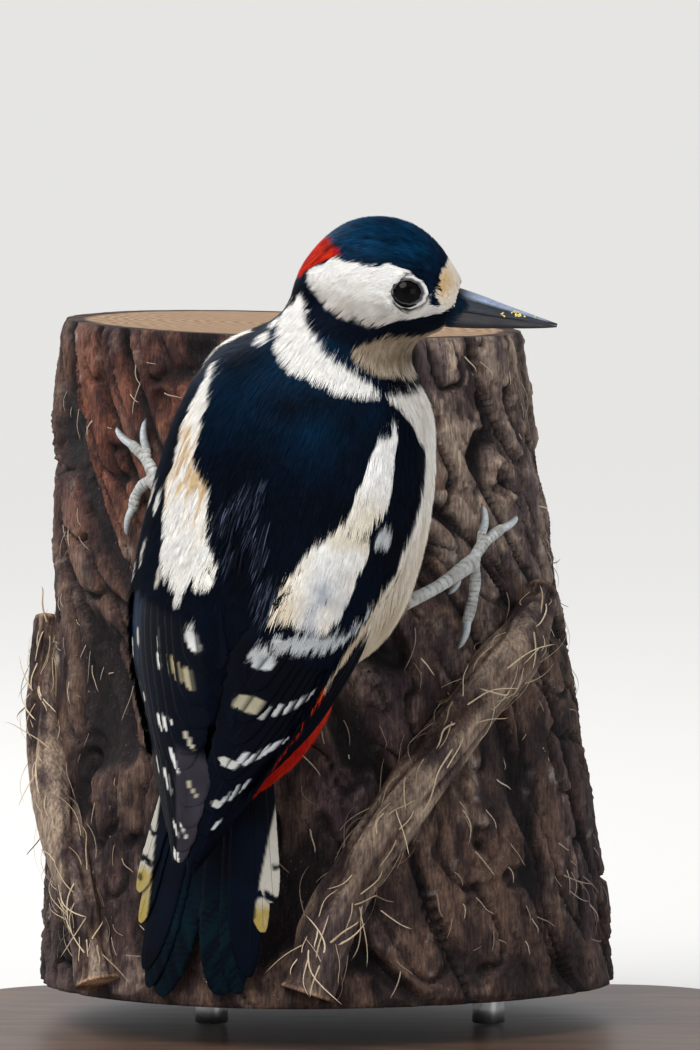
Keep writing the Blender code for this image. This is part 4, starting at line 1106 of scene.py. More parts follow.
# for each feather: root place and share, tip place and share, width
PRIMARIES = ((-8, 0.56, -72, 0.10, 9.5), (-8, 0.62, -79, 0.16, 9.5), (-8, 0.68, -85, 0.28, 9.5),
             (-7, 0.74, -89, 0.42, 9.0), (-6, 0.80, -88, 0.56, 8.5), (-5, 0.85, -82, 0.70, 8.0),
             (-4, 0.90, -73, 0.84, 7.5), (-3, 0.95, -60, 0.93, 7.0))
SECONDARIES = ((4, 0.10, -36, 0.10, 11.0), (4, 0.18, -44, 0.13, 11.0), (4, 0.26, -52, 0.15, 10.5),
               (3, 0.34, -58, 0.20, 10.0), (2, 0.42, -62, 0.28, 9.5), (1, 0.50, -63, 0.38, 9.5),
               (0, 0.58, -61, 0.49, 9.0), (0, 0.66, -57, 0.60, 9.0), (0, 0.74, -52, 0.71, 8.5),
               (0, 0.82, -46, 0.82, 8.0))
COVERTS = ((8, 0.16, -20, 0.10, 8.5), (9, 0.26, -21, 0.21, 8.5), (10, 0.36, -21, 0.32, 8.0),
           (10, 0.46, -20, 0.43, 8.0), (10, 0.56, -18, 0.54, 7.5), (10, 0.66, -16, 0.65, 7.5),
           (10, 0.76, -13, 0.76, 7.0), (9, 0.86, -10, 0.87, 7.0), (8, 0.95, -7, 0.96, 6.0))
# for each row: its feathers, their depth at the root and at the tip, tilt and rounding
WING_ROWS = ((PRIMARIES, 2.0, 0.95, 0.7, 0.86), (SECONDARIES, 1.5, 0.55, 0.6, 0.86),
             (COVERTS, 1.0, 0.25, 0.5, 0.72))


def grow_wing(side, finish):
    quills, paint = Quills(*wing_face(side), 60 + side), wing_paint(side)
    for feathers, root_depth, tip_depth, tilt, rounding in WING_ROWS:
        for k, (y0, s0, y1, s1, width) in reversed(list(enumerate(feathers))):
            lower, jump, stray = 0.035 * k, quills.chance.normal(0, 0.06), quills.chance.normal(0, 0.6)
            quills.feather((y0, at_share(side, y0, s0)), (y1 + stray, at_share(side, y1, s1)), width, paint,
                           depth=(root_depth + lower, tip_depth + lower + jump), tilt=tilt, bow=1.5,
                           rounding=rounding)
    quills.piece(f"wing_{SIDES[side]}_quills", finish, "plumage_black", f"wing_{SIDES[side]}")


def wing_bed(side, finish):
    """The flesh and the hidden quill bases under a wing's feathers."""
    carry, _ = wing_face(side)
    table = [(row[0], *row[3:]) for row in WINGS[side]]
    flat = lambda value: np.full(12, float(value))
    rings = []
    for y in np.linspace(35, -62, 26):
        inner, outer, thick = between(table, y)
        a = inner + (outer - inner) * np.linspace(0.04, 0.96, 12)
        low = max(thick - 0.15, 1.0)
        high = min(2.5, low - 0.25)
        rings.append(np.concatenate((carry(flat(y), a, flat(high)), carry(flat(y), a[::-1], flat(low)))))
    dress(loft_piece(f"wing_{SIDES[side]}_bed", rings, INK), finish, "plumage_black")


# dark bars over the outer tail feathers of each side: place, inner edge and thickness
TAIL_BARS = {
    1: ((36.5, 0.2, 1), (47.0, -2.0, 1), (55.2, -2.0, 1.4)),
    -1: ((46.0, 0.3, 1), (54.2, -2.0, 1.7)),
}
SHEEN, BLACK, BARRED = range(3)  # kinds of tail feathers
# from the outer feather inwards: width, how far inside its place it lies, kind, rounding and web
TAIL_SIZES = ((5.4, 0.8, BARRED, 0.84, 0.34), (4.6, 0.8, BARRED, 0.84, 0.34), (8.5, 1.8, BLACK, 0.72, 0.34),
              (8.5, 1.8, SHEEN, 0.72, 0.34), (13.0, 3.6, SHEEN, 0.72, 0.46))
TAIL_GREEN, TAIL_WHITE, TAIL_BUFF = (0.003, 0.024, 0.030), WHITE * (0.42, 0.40, 0.36), (0.30, 0.23, 0.06)


def tail_paint(kind, outer):
    """Colours for a tail feather of a kind: black with a green sheen, plain black, or barred white."""
    def paint(y, x, u):
        at = np.stack((x, y, np.full_like(y, 3.0)), -1)
        fine = cloud(at * (2.0, 0.6, 1), 1.4, 15, 2)
        dark = blend(INK, NAVY, 0.3 + 0.5 * cloud(at, 8.0, 16, 2))
        if kind == SHEEN:
            barbs = cloud(np.stack((y - np.abs(u) * 1.5, 0.2 * u, x * 0), -1), 0.9, 18)
            dark = mixed(dark, TAIL_GREEN, smooth(48, 66, y) * 0.35 * np.clip(0.5 + 1.4 * barbs, 0, 1))
        if kind != BARRED:
            return dark, np.ones_like(y)
        buff = smooth(55.5, 59.0, y + 0.8 * fine)
        pale = blend(TAIL_WHITE, TAIL_BUFF, buff * (0.9 + 0.3 * fine))
        share = smooth(-0.3, 0.3, np.abs(x) - 15.9 + 0.045 * (y - 27))
        for bar, inner, thick in TAIL_BARS[outer]:
            wave = bar + 0.5 * np.sin(x * 1.1 + bar) + 0.35 * fine
            reach = smooth(inner - 0.4, inner + 0.4, u)
            share = share * (1 - smooth(thick * 0.5 + 0.45, thick * 0.5 - 0.1, np.abs(y - wave)) * reach)
        mottle = smooth(0.15, 0.5, cloud(at, 2.0, 17)) * buff * 0.8
        share = share * (1 - mottle)
        return mixed(dark, pale, share), 1 - share

    return paint


def grow_tail(finish):
    """The tail, from the outer feathers under it to the middle ones on top."""
    quills = Quills(tail_face, lambda place: np.ones_like(np.asarray(place, float)), 71)
    count = len(TAIL_FEATHERS)
    order = sorted(range(count), key=lambda i: -abs(TAIL_FEATHERS[i][0]))
    for rank, i in enumerate(order):
        across, reach = TAIL_FEATHERS[i]
        outer = 1 if across > 0 else -1
        width, inset, kind, rounding, web = TAIL_SIZES[min(i, count - 1 - i)]
        inward = across - outer * inset
        level = 0.55 - 0.16 * rank
        quills.feather((2.0, inward * 0.42), (reach, inward), width, tail_paint(kind, outer), outer=outer,
                       depth=(-level * 0.6, -level), tilt=-0.25, rounding=rounding, web=web, step=0.7,
                       thick=0.3, waist=0.5)
    quills.piece("tail_quills", finish, "plumage_black", "tail")


def quill_finish():
    """Vanes with barbs that leave the shaft at a slant."""
    f = Finish("flight_feather")
    gloss = f.held("gloss")
    u, long, who = f.parts(f.held("vane", 1))
    slant = long - u.size() * 1.3
    barbs = f.grain(f.node("ShaderNodeCombineXYZ", {}, slant * 1.6, u * 0.35, who), 1.0, 2.0)
    fine = (slant * 6.6 + barbs * 5.0).sine() * 0.5 + 0.5
    rough = (0.62 - gloss * (0.18 - 0.12 * barbs)).clamped(0.2, 1.0)
    return f.done(Base_Color=f.tinted((0.86, 0.86, 0.88), (1.10, 1.10, 1.08), barbs), Roughness=rough,
                  Metallic=gloss * 0.35, Specular_IOR_Level=0.05,
                  Normal=f.bump(barbs * 0.7 + fine * 0.3, 0.10, 0.7))


# Eyes, bill, feet and claws

EYE_INK, IRIS = np.array((0.0004, 0.0004, 0.0007)), np.array((0.0018, 0.0008, 0.0008))
EYEBALL_REACH = 3.6  # the ball is no wider than this, to stay inside the lid
LID_EDGE, LID_SKIN, LID_FOLD = (0.006, 0.006, 0.009), (0.034, 0.037, 0.046), (0.10, 0.10, 0.105)
LID_DOWN, LID_UNDER = (0.62, 0.60, 0.57), (0.10, 0.10, 0.10)
# rings of the lid: distance from the eye's middle, height over the eyeball, and tone
LID = ((2.92, 0.03, LID_EDGE), (3.02, 0.20, LID_EDGE), (3.18, 0.26, LID_SKIN), (3.36, 0.18, LID_SKIN),
       (3.55, 0.08, LID_FOLD), (4.0, 0.10, LID_DOWN), (4.5, -0.25, LID_DOWN), (4.5, -0.8, LID_UNDER),
       (3.2, -0.6, LID_UNDER), (3.0, -0.30, LID_UNDER))
LID_FORWARD, LID_UP = 1.09, 0.89  # how far the lid's opening is from round


def grow_eye(side, finish, rim_finish):
    """A smooth eye with a dark pupil in a brown iris, and the rim of bare lid round it."""
    middle = EYE_PLACE * (side, 1, 1)
    gaze = Place(HEAD.out(middle), HEAD.turn(np.array((side, 0.10, 0.02))), (0, 0, 1))
    steps, sides = 44, 48
    lean, turn = np.linspace(0.01, math.pi - 0.01, steps), np.arange(sides) * math.tau / sides
    wide = np.sin(lean)[:, None]
    ring = np.stack(np.broadcast_arrays(wide * np.cos(turn), np.cos(lean)[:, None], wide * np.sin(turn)), -1)
    out = np.sin(lean) * EYE_RADIUS
    narrow = np.minimum(1, EYEBALL_REACH / out)
    ring = ring * np.stack((narrow, np.ones(steps), narrow), -1)[:, None]
    streak = 0.75 + 0.5 * np.random.default_rng(80).random((1, sides))
    iris = (smooth(1.45, 1.6, out) * smooth(3.0, 2.7, out))[:, None] * streak
    ball = loft_piece(f"eyeball_{SIDES[side]}", gaze.out(ring * EYE_RADIUS), iris[..., None] * IRIS + EYE_INK)
    dress(ball, finish, "eye", f"eye_{SIDES[side]}")

    turn = np.linspace(0, math.tau, 72, endpoint=False)
    wave = 1 + 0.02 * np.sin(turn * 9) + 0.015 * np.sin(turn * 14 + 1)
    rings = []
    for wide, rise, _ in LID:
        forward, up = wide * LID_FORWARD * wave * np.cos(turn), wide * LID_UP * wave * np.sin(turn)
        out = np.sqrt(EYE_RADIUS**2 - np.minimum(forward**2 + up**2, 16.0)) + rise
        rings.append(np.stack((out * side, forward + 0.15, up + 0.25), -1) + middle)
    grid = HEAD.out(np.array(rings).transpose(1, 0, 2))
    tones = np.array([tone for _, _, tone in LID])
    lid = loft_piece(f"lid_{SIDES[side]}", grid, np.broadcast_to(tones[None], grid.shape), hoop=True)
    dress(lid, rim_finish, "plumage_head")


# from the cutting edge over the ridge: shares of the half width and of the height
UPPER_FACETS = ((1.0, 0.0), (1.0, 0.16), (0.93, 0.32), (0.84, 0.46), (0.80, 0.56), (0.58, 0.76),
                (0.34, 0.91), (0.13, 0.985), (0.0, 1.0))
LOWER_FACETS = ((0.97, 0.0), (0.95, 0.20), (0.84, 0.50), (0.62, 0.80), (0.34, 0.96), (0.12, 1.0),
                (0.0, 1.0))
BILL_INK, BILL_RIDGE_HIGHLIGHT = (0.020, 0.023, 0.032), (0.23, 0.28, 0.39)
BILL_UNDER, BILL_SIDE = (0.016, 0.016, 0.020), (0.048, 0.046, 0.051)
# grains of dust: place forward, and share of the way from the seam to the ridge
BILL_DUST = ((32.6, 0.62), (33.1, 0.7), (33.4, 0.5), (33.9, 0.66), (34.4, 0.55), (34.2, 0.4), (33.3, 0.36),
             (30.2, 0.30), (30.6, 0.12), (38.0, 0.85), (35.3, 0.6))
DUST, DUST_SIZE, DUST_LUMPS = np.array((0.62, 0.50, 0.16)), 0.34, 3
# bristles on each side, every few of which lies below the seam, and their places and thickness
BRISTLES, BRISTLES_LOW = 230, 5
BRISTLE_PLACES, BRISTLE_THICK = (0.0, 0.4, 0.75, 1.0), (0.20, 0.19, 0.14, 0.08)


def bill_half(upper, finish):
    """One half of the bill: a hard ridge and a groove above, a plain keel below."""
    rows = np.array(UPPER_FACETS if upper else LOWER_FACETS)
    around = np.concatenate((rows, rows[-2::-1] * (-1, 1), ((-0.5, 0.05), (0.0, 0.08), (0.5, 0.05))))
    along_bill = np.linspace(BILL[0][0] - 1.0, BILL[-1][0], 70)
    half, ridge, keel = between(BILL, np.maximum(along_bill, BILL[0][0])).T
    seam = BILL_SEAM + (0.05 if upper else -0.05) - 0.10 * smooth(17, 30, along_bill)
    far = (ridge if upper else keel) - seam
    x = half[:, None] * around[:, 0]
    z = seam[:, None] + far[:, None] * around[:, 1]
    y = np.broadcast_to(along_bill[:, None], x.shape)
    grain = cloud(np.stack((x, y * 0.12, z), -1), 0.7, 91, 2)
    share = np.broadcast_to(around[:, 1], x.shape)
    if upper:
        # painted highlight: the upper facets over the middle of the bill are blended to a pale blue
        tone = smooth(0.56, 0.74, share) * smooth(19.0, 24.0, y) * smooth(43.0, 39.0, y)
        colours = blend(BILL_INK, BILL_RIDGE_HIGHLIGHT, tone * (0.85 + 0.25 * grain))
        # painted shade along the groove below the ridge
        groove = np.exp(-((share - 0.52) / 0.06) ** 2) * smooth(21, 24, y) * smooth(38, 33, y)
        colours = colours * (1 - 0.6 * groove[..., None])
    else:
        tone = smooth(0.05, 0.35, share) * smooth(0.95, 0.6, share) * (0.8 + 0.3 * grain)
        colours = mixed(BILL_UNDER, BILL_SIDE, tone)
    colours = colours * (1 - 0.7 * smooth(39.5, 43.0, y)[..., None]) * (1 + 0.15 * grain[..., None])
    name = "upper" if upper else "lower"
    made = loft_piece(f"bill_half_{name}", HEAD.out(np.stack((x, y, z), -1)), colours)
    dress(made, finish, "horn", f"bill_{name}")


def bill_dust(finish):
    """Grains of wood dust caught on the bill's side, each a small closed lump."""
    chance = np.random.default_rng(88)
    centre, normal = [], []
    for y, share in BILL_DUST:
        half, ridge, _ = between(BILL, np.array(y))
        for _ in range(DUST_LUMPS):
            out = half * (1.02 - 0.55 * share**2) + 0.05
            at = np.array((out, y, BILL_SEAM + (ridge - BILL_SEAM) * share))
            at[1:] += chance.normal(0, 0.22, 2)
            way = chance.normal(0, 1, 3) * (0.2, 1, 1)
            centre.append([HEAD.out(at + unit(way) * s) for s in (-0.2, 0.0, 0.2)])
            normal.append([HEAD.turn(np.array((1.0, 0.0, 0.3)))] * 3)
    tones = DUST * chance.uniform(0.6, 1.3, (len(centre), 1))
    thick = np.full((len(centre), 3), DUST_SIZE)
    dress(strands_piece("bill_dust", np.array(centre), np.array(normal), thick, tones), finish, "horn")


def bristles(finish):
    """Stiff black feathers that lie forward over the nostrils, and a few at the corners of the bill."""
    chance = np.random.default_rng(85)
    lines, normals, tones = [], [], []
    for side in SIDES:
        for k in range(BRISTLES):
            low = chance.random() ** 0.8
            root = 16.0 + 2.2 * chance.random() - 1.2 * low
            share = 0.98 - 1.25 * low if k % BRISTLES_LOW else -chance.random()
            reach = (5.2 - 2.4 * abs(share - 0.35)) * chance.uniform(0.6, 1.1)
            line = []
            for t in BRISTLE_PLACES:
                y = root + reach * t
                half, ridge, keel = between(BILL, np.array(max(y, BILL[0][0])))
                s = share - 0.35 * t * max(share, 0)
                height = BILL_SEAM + (ridge - BILL_SEAM) * s if s > 0 else BILL_SEAM - (keel - BILL_SEAM) * s
                wide = half * math.sqrt(max(1 - (abs(s) * 0.93) ** 2.4, 0.02)) + 0.42
                wide = wide + 0.35 * math.sin(math.pi * t)
                line.append(((wide - 0.25 * t) * side, y, height))
            lines.append(HEAD.out(np.array(line)))
            normals.append(np.broadcast_to(HEAD.turn(unit(np.array((side * 1.0, 0.15, share)))), (4, 3)))
            tones.append(blend(INK, MIDNIGHT, np.array([0.5 * chance.random()]))[0])
    thick = np.broadcast_to(np.array(BRISTLE_THICK), (len(lines), 4))
    made = strands_piece("bristles", np.array(lines), np.array(normals), thick, np.array(tones), 1.0)
    dress(made, finish, "plumage_head")


def log_axis(z):
    """The trunk's axis in x and y, and its radius, at heights."""
    t = (np.asarray(z, float)[..., None] - LOG_BOTTOM) / (LOG_TOP - LOG_BOTTOM)
    return LOG_FOOT + (LOG_HEAD - LOG_FOOT) * t


def log_point(angle, z, grow=0.0):
    """A point of the trunk's face. Angle 0 faces -Y and grows towards +X."""
    angle, z = np.broadcast_arrays(np.asarray(angle, float), np.asarray(z, float))
    axis = log_axis(z)
    lobes = sum(depth * (np.cos(count * angle + turn) - 1) for count, depth, turn in LOG_LOBES)
    radius = axis[..., 2] * (1 + lobes) + grow
    return np.stack((axis[..., 0] + radius * np.sin(angle), axis[..., 1] - radius * np.cos(angle), z), -1)


def on_log(x, z):
    """The point of the trunk's near face at x and z, and the way out of the trunk there."""
    low, high = -math.pi / 2, math.pi / 2
    for _ in range(40):
        middle = (low + high) / 2
        low, high = (middle, high) if log_point(middle, z)[0] < x else (low, middle)
    here = log_point((low + high) / 2, z)
    return here, unit((here - np.append(log_axis(z)[:2], z)) * (1, 1, 0))


def toe_line(leg, toe):
    """Four points along the middle of a toe, from inside the foot to its tip on the bark."""
    (tip_x, tip_z), length, bow = leg["toes"][toe]
    foot = np.array(leg["foot"])
    way = unit(np.array((tip_x, tip_z)) - foot)
    across = np.array((-way[1], way[0]))
    hidden = 0.5 + 0.35 * list(leg["toes"]).index(toe)
    points = []
    for t in np.linspace(0, 1, 4):
        x, z = foot - way * hidden + way * (length + hidden) * t + across * bow * math.sin(math.pi * t) * 2
        face, out = on_log(x, z)
        points.append(face + out * (TOE_RADIUS + 0.6 + (0.5 + hidden * 0.3) * (1 - t) ** 2))
    return np.array(points)


SHANK_RADII, TOE_SWELLS = (1.8, 1.55, 2.15), np.array((1.2, 0.98, 1.1, 0.90, 1.02, 0.86))
SHANK_PLATE, TOE_PLATE = 2.1, 1.25  # lengths of the plates in mm
SKIN_DARK, SKIN_PALE, SKIN_SEAM, SKIN_DIRT_AND_SHADE = (
    (0.31, 0.325, 0.32), (0.47, 0.485, 0.475), (0.16, 0.15, 0.13), (0.20, 0.17, 0.14))


def grow_leg(side, finish):
    """Shank and toes run together, with a row of plates down the front of each."""
    leg = LEGS[side]
    foot, out = on_log(*leg["foot"])
    foot = foot + out * (TARSUS_RADIUS + 1.3)
    heel = np.array(leg["heel"])
    bowed = (heel + foot) / 2 + (0, -0.8, -0.8)
    lines = [(np.array((heel + (foot - heel) * 0.02, bowed, foot)), SHANK_RADII, SHANK_PLATE)]
    for toe in leg["toes"]:
        slim = 0.85 if toe in ("inner", "hind") else 1.0
        lines.append((toe_line(leg, toe), TOE_RADIUS * slim * TOE_SWELLS, TOE_PLATE))
    pieces = [loft_piece("limb", tube_rings(points, radii, 26, 16, out), INK) for points, radii, _ in lines]
    mesh = soft_union("leg", [piece.data for piece in pieces], 0.30, 3)
    for piece in pieces:
        bpy.data.objects.remove(piece)
    form = Form(mesh)
    bpy.data.meshes.remove(mesh)

    best = np.full(len(form.points), 1e9)
    place, gauge, phase = np.zeros(len(best)), np.ones(len(best)), np.zeros(len(best))
    for i, (points, _, plate) in enumerate(lines):
        route = along(points, np.linspace(0, 1, 60))
        gone = np.concatenate(([0], np.cumsum(np.linalg.norm(np.diff(route, axis=0), axis=1))))
        gap = np.linalg.norm(form.points[:, None] - route[None], axis=2)
        closer = gap.min(1) < best
        best = np.where(closer, gap.min(1), best)
        place, gauge = np.where(closer, gone[gap.argmin(1)], place), np.where(closer, plate, gauge)
        phase = np.where(closer, i * 0.37, phase)
    facing = np.abs(form.normals @ out)
    front = smooth(0.05, 0.55, form.normals @ np.array((0.0, -1.0, 0.25)) + 0.3 * facing)
    step = (place + cloud(form.points, 2.0, 141) * 0.35) / gauge + phase
    seam = smooth(0.72, 0.98, np.abs(2 * (step - np.floor(step)) - 1))
    pebble = cloud(form.points, 0.7, 143, 2)
    height = front * (0.10 - 0.30 * seam) + (1 - front) * 0.09 * pebble
    points = form.points + form.normals * height[:, None]
    # patches of dirt, and painted shade on the sides that turn towards the bark
    dirt_and_shade = smooth(-0.1, 0.6, cloud(form.points, 3.0, 144, 2)) * 0.5
    dirt_and_shade = dirt_and_shade + smooth(0.3, -0.5, form.normals[:, 1] * -1) * 0.4
    pale = blend(SKIN_DARK, SKIN_PALE, 0.5 + 0.6 * cloud(form.points, 1.4, 145))
    colours = blend(pale, SKIN_SEAM, 0.75 * seam * front + 0.25 * (1 - front) * (0.5 + pebble))
    colours = blend(colours, SKIN_DIRT_AND_SHADE, dirt_and_shade)
    made = mesh_piece(f"leg_{SIDES[side]}", points, [form.faces], colours, {"gloss": np.zeros(len(points))},
                      np.column_stack((place / 40.0, np.degrees(phase) / 90.0)))
    dress(made, finish, "leg_skin", f"foot_{SIDES[side]}")


CLAW_SWELLS = np.array((1.02, 0.95, 0.80, 0.55, 0.12))
CLAW_INK, CLAW_PALE = (0.045, 0.046, 0.050), (0.40, 0.43, 0.45)


def grow_claw(side, toe, finish):
    """A claw that arches from the toe's tip and hooks into the bark."""
    points = toe_line(LEGS[side], toe)
    start, way = points[-1], unit(points[-1] - points[-2])
    _, out = on_log(start[0], start[2])
    size = CLAW_LENGTH * (0.6 if toe == "hind" else 1.0)
    start = start - way * 0.5
    route = np.array((start, start + way * size * 0.38 + out * 0.75, start + way * size * 0.76 + out * 0.35,
                      start + way * (size + 0.4) - out * 0.9))
    count, sides = 30, 16
    rings = tube_rings(route, CLAW_RADIUS * CLAW_SWELLS, count, sides, out, 1.25)
    t = np.linspace(0, 1, count)[:, None]
    # painted highlight and shade: the claw is palest along its top, away from the bark, and dark underneath;
    # its tip is darker
    ridge = np.cos(np.arange(sides) * math.tau / sides - math.pi / 2)[None, :]
    tone = np.clip(0.55 + 0.5 * ridge - 0.3 * t, 0, 1) * smooth(1.0, 0.72, t)
    made = loft_piece(f"talon_{SIDES[side]}_{toe}", rings, mixed(CLAW_INK, CLAW_PALE, tone))
    dress(made, finish, "horn", f"claw_{SIDES[side]}_{toe}")


def tinted_finish(name, rough, relief, scale, stretch=(1, 1, 1), turn=(0, 0, 0), amount=0.25, **sockets):
    """A finish over the mesh's own colours, with grain of a given size and some wear in its roughness."""
    f = Finish(name)
    grain = f.grain(f.place(stretch, turn), scale, 5.0, 0.6)
    colour = f.tinted((1 - amount,) * 3, (1 + amount,) * 3, grain.rise(0.25, 0.75))
    return f.done(Base_Color=colour, Roughness=(grain * 0.3 + rough - 0.15).clamped(0.02, 1.0),
                  Normal=f.bump(grain, relief, 0.8), **sockets)


# The trunk, its climbers and the stand

LOG_ROUND = 68.0  # mean radius, which turns angles into mm
FINE_EDGE, FINE_COLUMNS, PLAIN_COLUMNS, BARK_ROWS = 1.9, 292, 76, 240  # the front has finer bark
BARK_LOW, BARK_HIGH = -7.0, 2.4
BARK_BROWN, BARK_TAN, BARK_PURPLE = (0.052, 0.030, 0.026), (0.120, 0.078, 0.056), (0.036, 0.023, 0.036)
BARK_GREY, BARK_RED, BARK_CRACK_AND_SHADE = (0.330, 0.270, 0.220), (0.175, 0.060, 0.034), (0.011, 0.0065, 0.008)
LICHEN, CUT_UNDER = (0.42, 0.40, 0.36), (0.16, 0.10, 0.06)
CUT_RIM, CUT_WOOD = (0.060, 0.036, 0.026), (0.30, 0.185, 0.105)
# rings of the cut ends, as shares of the trunk's radius
UNDER_RINGS = (0.15, 0.6, 0.97)
TOP_RINGS, TOP_BARK = (0.985, 0.96, 0.93, 0.90, 0.82, 0.70, 0.55, 0.38, 0.20, 0.06), 0.92
# of each knot: its angle round, height and size
BARK_KNOTS = ((0.95, 148.0, 9.0), (0.62, 62.0, 12.0), (-0.95, 78.0, 9.0), (-0.55, 166.0, 7.0),
              (2.6, 110.0, 12.0))


def contact_places():
    """Places where the bird rests on the bark, and how far round each the bark stays level."""
    places, reaches = [], []
    for leg in LEGS.values():
        for toe in leg["toes"]:
            line = toe_line(leg, toe)
            places += [*along(line, np.linspace(0, 1, 6)), line[-1] + unit(line[-1] - line[-2]) * 5.0]
            reaches += [3.5] * 6 + [3.0]
    for across, reach in TAIL_FEATHERS:
        places += [TAIL.out((across * 0.9, reach * share, 0)) for share in (1.0, 0.85)]
        reaches += [5.0, 5.0]
    return np.array(places), np.array(reaches)


def bark_relief(points, angle, z):
    """Height of the bark in mm over its face, and its cracks, flakes, strings and fine grain."""
    turn = angle + 0.0065 * (z - 100) + 0.10 * np.sin(z / 21.0)
    at = np.stack((62 * np.sin(turn), -62 * np.cos(turn), z * 0.34), -1)
    lumps = cloud(at, 30.0, 201, 2)
    warp = np.stack([cloud(at, 13.0, seed, 2) for seed in (203, 204, 205)], -1) * 5.0
    main = 1 - np.abs(cloud(at + warp, 15.0, 211)) * 3.0
    minor = 1 - np.abs(cloud(at * (1, 1, 1.4) + warp, 6.0, 213)) * 3.2
    crack = np.maximum(smooth(0.35, 0.95, main), 0.55 * smooth(0.45, 0.95, minor))
    steps = cloud(at * (1, 1, 1.7) + warp * 0.6, 8.0, 215, 2) + 1.0
    flakes = np.floor(3.0 * steps + 0.35 * lumps) / 3.0 - 1.0
    strings = cloud(at * (1, 1, 0.22) + warp * 0.5, 1.7, 217, 2)
    fine = cloud(points, 1.3, 219, 2)
    height = 2.0 * lumps - 4.2 * crack + 1.5 * flakes + 0.55 * strings + 0.30 * fine
    for knot_turn, knot_z, size in BARK_KNOTS:
        off = np.hypot((angle - knot_turn) * LOG_ROUND, (z - knot_z) * 0.9)
        swirl = np.cos(off * 1.5 + 1.6 * cloud(points, 6.0, 221))
        near = np.exp(-((off / size) ** 2))
        height += near * (2.6 + 0.9 * swirl) - 3.6 * np.exp(-((off / (size * 0.35)) ** 2))
    return height, crack, flakes, strings, fine


def bark_colours(face, turn, level, height, crack, flakes, strings, fine):
    """Brown bark with greyer flakes, dark cracks, painted shade in the hollows, lichen, and a red rotten
    patch at the upper left.
    """
    wear_and_shade = flakes + 0.5 * fine + 0.9 * (smooth(0.15, 0.8, turn) * smooth(90, 130, level)) - 0.25
    colours = blend(BARK_BROWN, BARK_TAN, 0.5 + 0.5 * strings + 0.3 * fine)
    colours = blend(colours, BARK_PURPLE, 0.85 * smooth(0.0, 0.8, cloud(face * (1, 1, 0.5), 26.0, 231, 2)))
    colours = blend(colours, BARK_GREY, 0.95 * (smooth(-0.2, 0.9, wear_and_shade) * (0.75 + 0.35 * strings)))
    rotten = np.exp(-((turn + 0.85) / 0.40) ** 2 - ((level - 160) / 26.0) ** 2)
    rotten = rotten + 0.6 * np.exp(-((turn + 0.35) / 0.16) ** 2 - ((level - 172) / 18.0) ** 2)
    colours = blend(colours, BARK_RED, rotten * smooth(-0.6, 0.4, 0.6 * strings - flakes + 0.2))
    # dark cracks, and painted shade where the bark lies deep
    colours = blend(colours, BARK_CRACK_AND_SHADE, crack * 0.9 + 0.65 * smooth(0.4, -3.0, height))
    return blend(colours, LICHEN, smooth(0.42, 0.75, cloud(face, 5.0, 233, 3)) * (1 - crack) * 0.55)


def grow_log(finish):
    """The cut length of trunk: bark that is finest at the front, level where the bird rests, and cut ends."""
    front = np.linspace(-FINE_EDGE, FINE_EDGE, FINE_COLUMNS, endpoint=False)
    back = np.linspace(FINE_EDGE, math.tau - FINE_EDGE, PLAIN_COLUMNS, endpoint=False)
    turn, level = np.meshgrid(np.concatenate((front, back)), np.linspace(LOG_BOTTOM, LOG_TOP, BARK_ROWS))
    turn = (turn + math.pi) % math.tau - math.pi
    sides = turn.shape[1]
    face = log_point(turn, level)
    height, *grain = bark_relief(face, turn, level)
    calm = np.zeros_like(height)
    for place, reach in zip(*contact_places()):
        calm = np.maximum(calm, np.exp(-(np.linalg.norm(face - place, axis=-1) / (reach + 3.0)) ** 4))
    for route in CLIMBERS.values():
        for turned, z, radius in route:
            gap = np.hypot((turn - math.radians(turned)) * LOG_ROUND, level - z)
            calm = np.maximum(calm, np.exp(-(gap / (radius + 5.0)) ** 4))
    height = np.clip(height, BARK_LOW, BARK_HIGH)
    height = height * (1 - calm) + calm * np.clip(height * 0.25 - 0.1, -1.0, 0.1)
    rim = np.minimum(level - LOG_BOTTOM, LOG_TOP - level)
    height = height * smooth(-2.0, 5.0, rim) - 0.8 * smooth(2.0, 0.0, rim)
    out = np.stack((np.sin(turn), -np.cos(turn), np.zeros_like(turn)), -1)
    points = face + out * height[..., None]
    points[..., 2] += face[..., 0] * LOG_TOP_SLOPE * ((level - LOG_BOTTOM) / (LOG_TOP - LOG_BOTTOM))

    low, high = (np.append(log_axis(np.array(z))[:2], z) for z in (LOG_BOTTOM, LOG_TOP))
    rings = [low + (points[0] - low) * (share, share, 0) for share in UNDER_RINGS] + list(points)
    tones = [np.broadcast_to(CUT_UNDER, (sides, 3)) for _ in UNDER_RINGS]
    tones += list(bark_colours(face, turn, level, height, *grain))
    for share in TOP_RINGS:
        ring = high + (points[-1] - high) * (share, share, 1)
        ring[:, 2] = LOG_TOP + ring[:, 0] * LOG_TOP_SLOPE + 0.5 * cloud(ring, 9.0, 241, 2) * (1 - share) * 0.5
        rings.append(ring)
        tones.append(np.broadcast_to(CUT_RIM if share > TOP_BARK else CUT_WOOD, ring.shape))
    wood = [0.0] * (len(UNDER_RINGS) + len(points)) + [float(share < TOP_BARK) for share in TOP_RINGS]
    made = loft_piece("trunk_bark", np.array(rings), np.array(tones),
                      {"wood": np.concatenate((np.repeat(wood, sides), (1.0, 1.0)))})
    dress(made, finish, "bark", "perch_log")


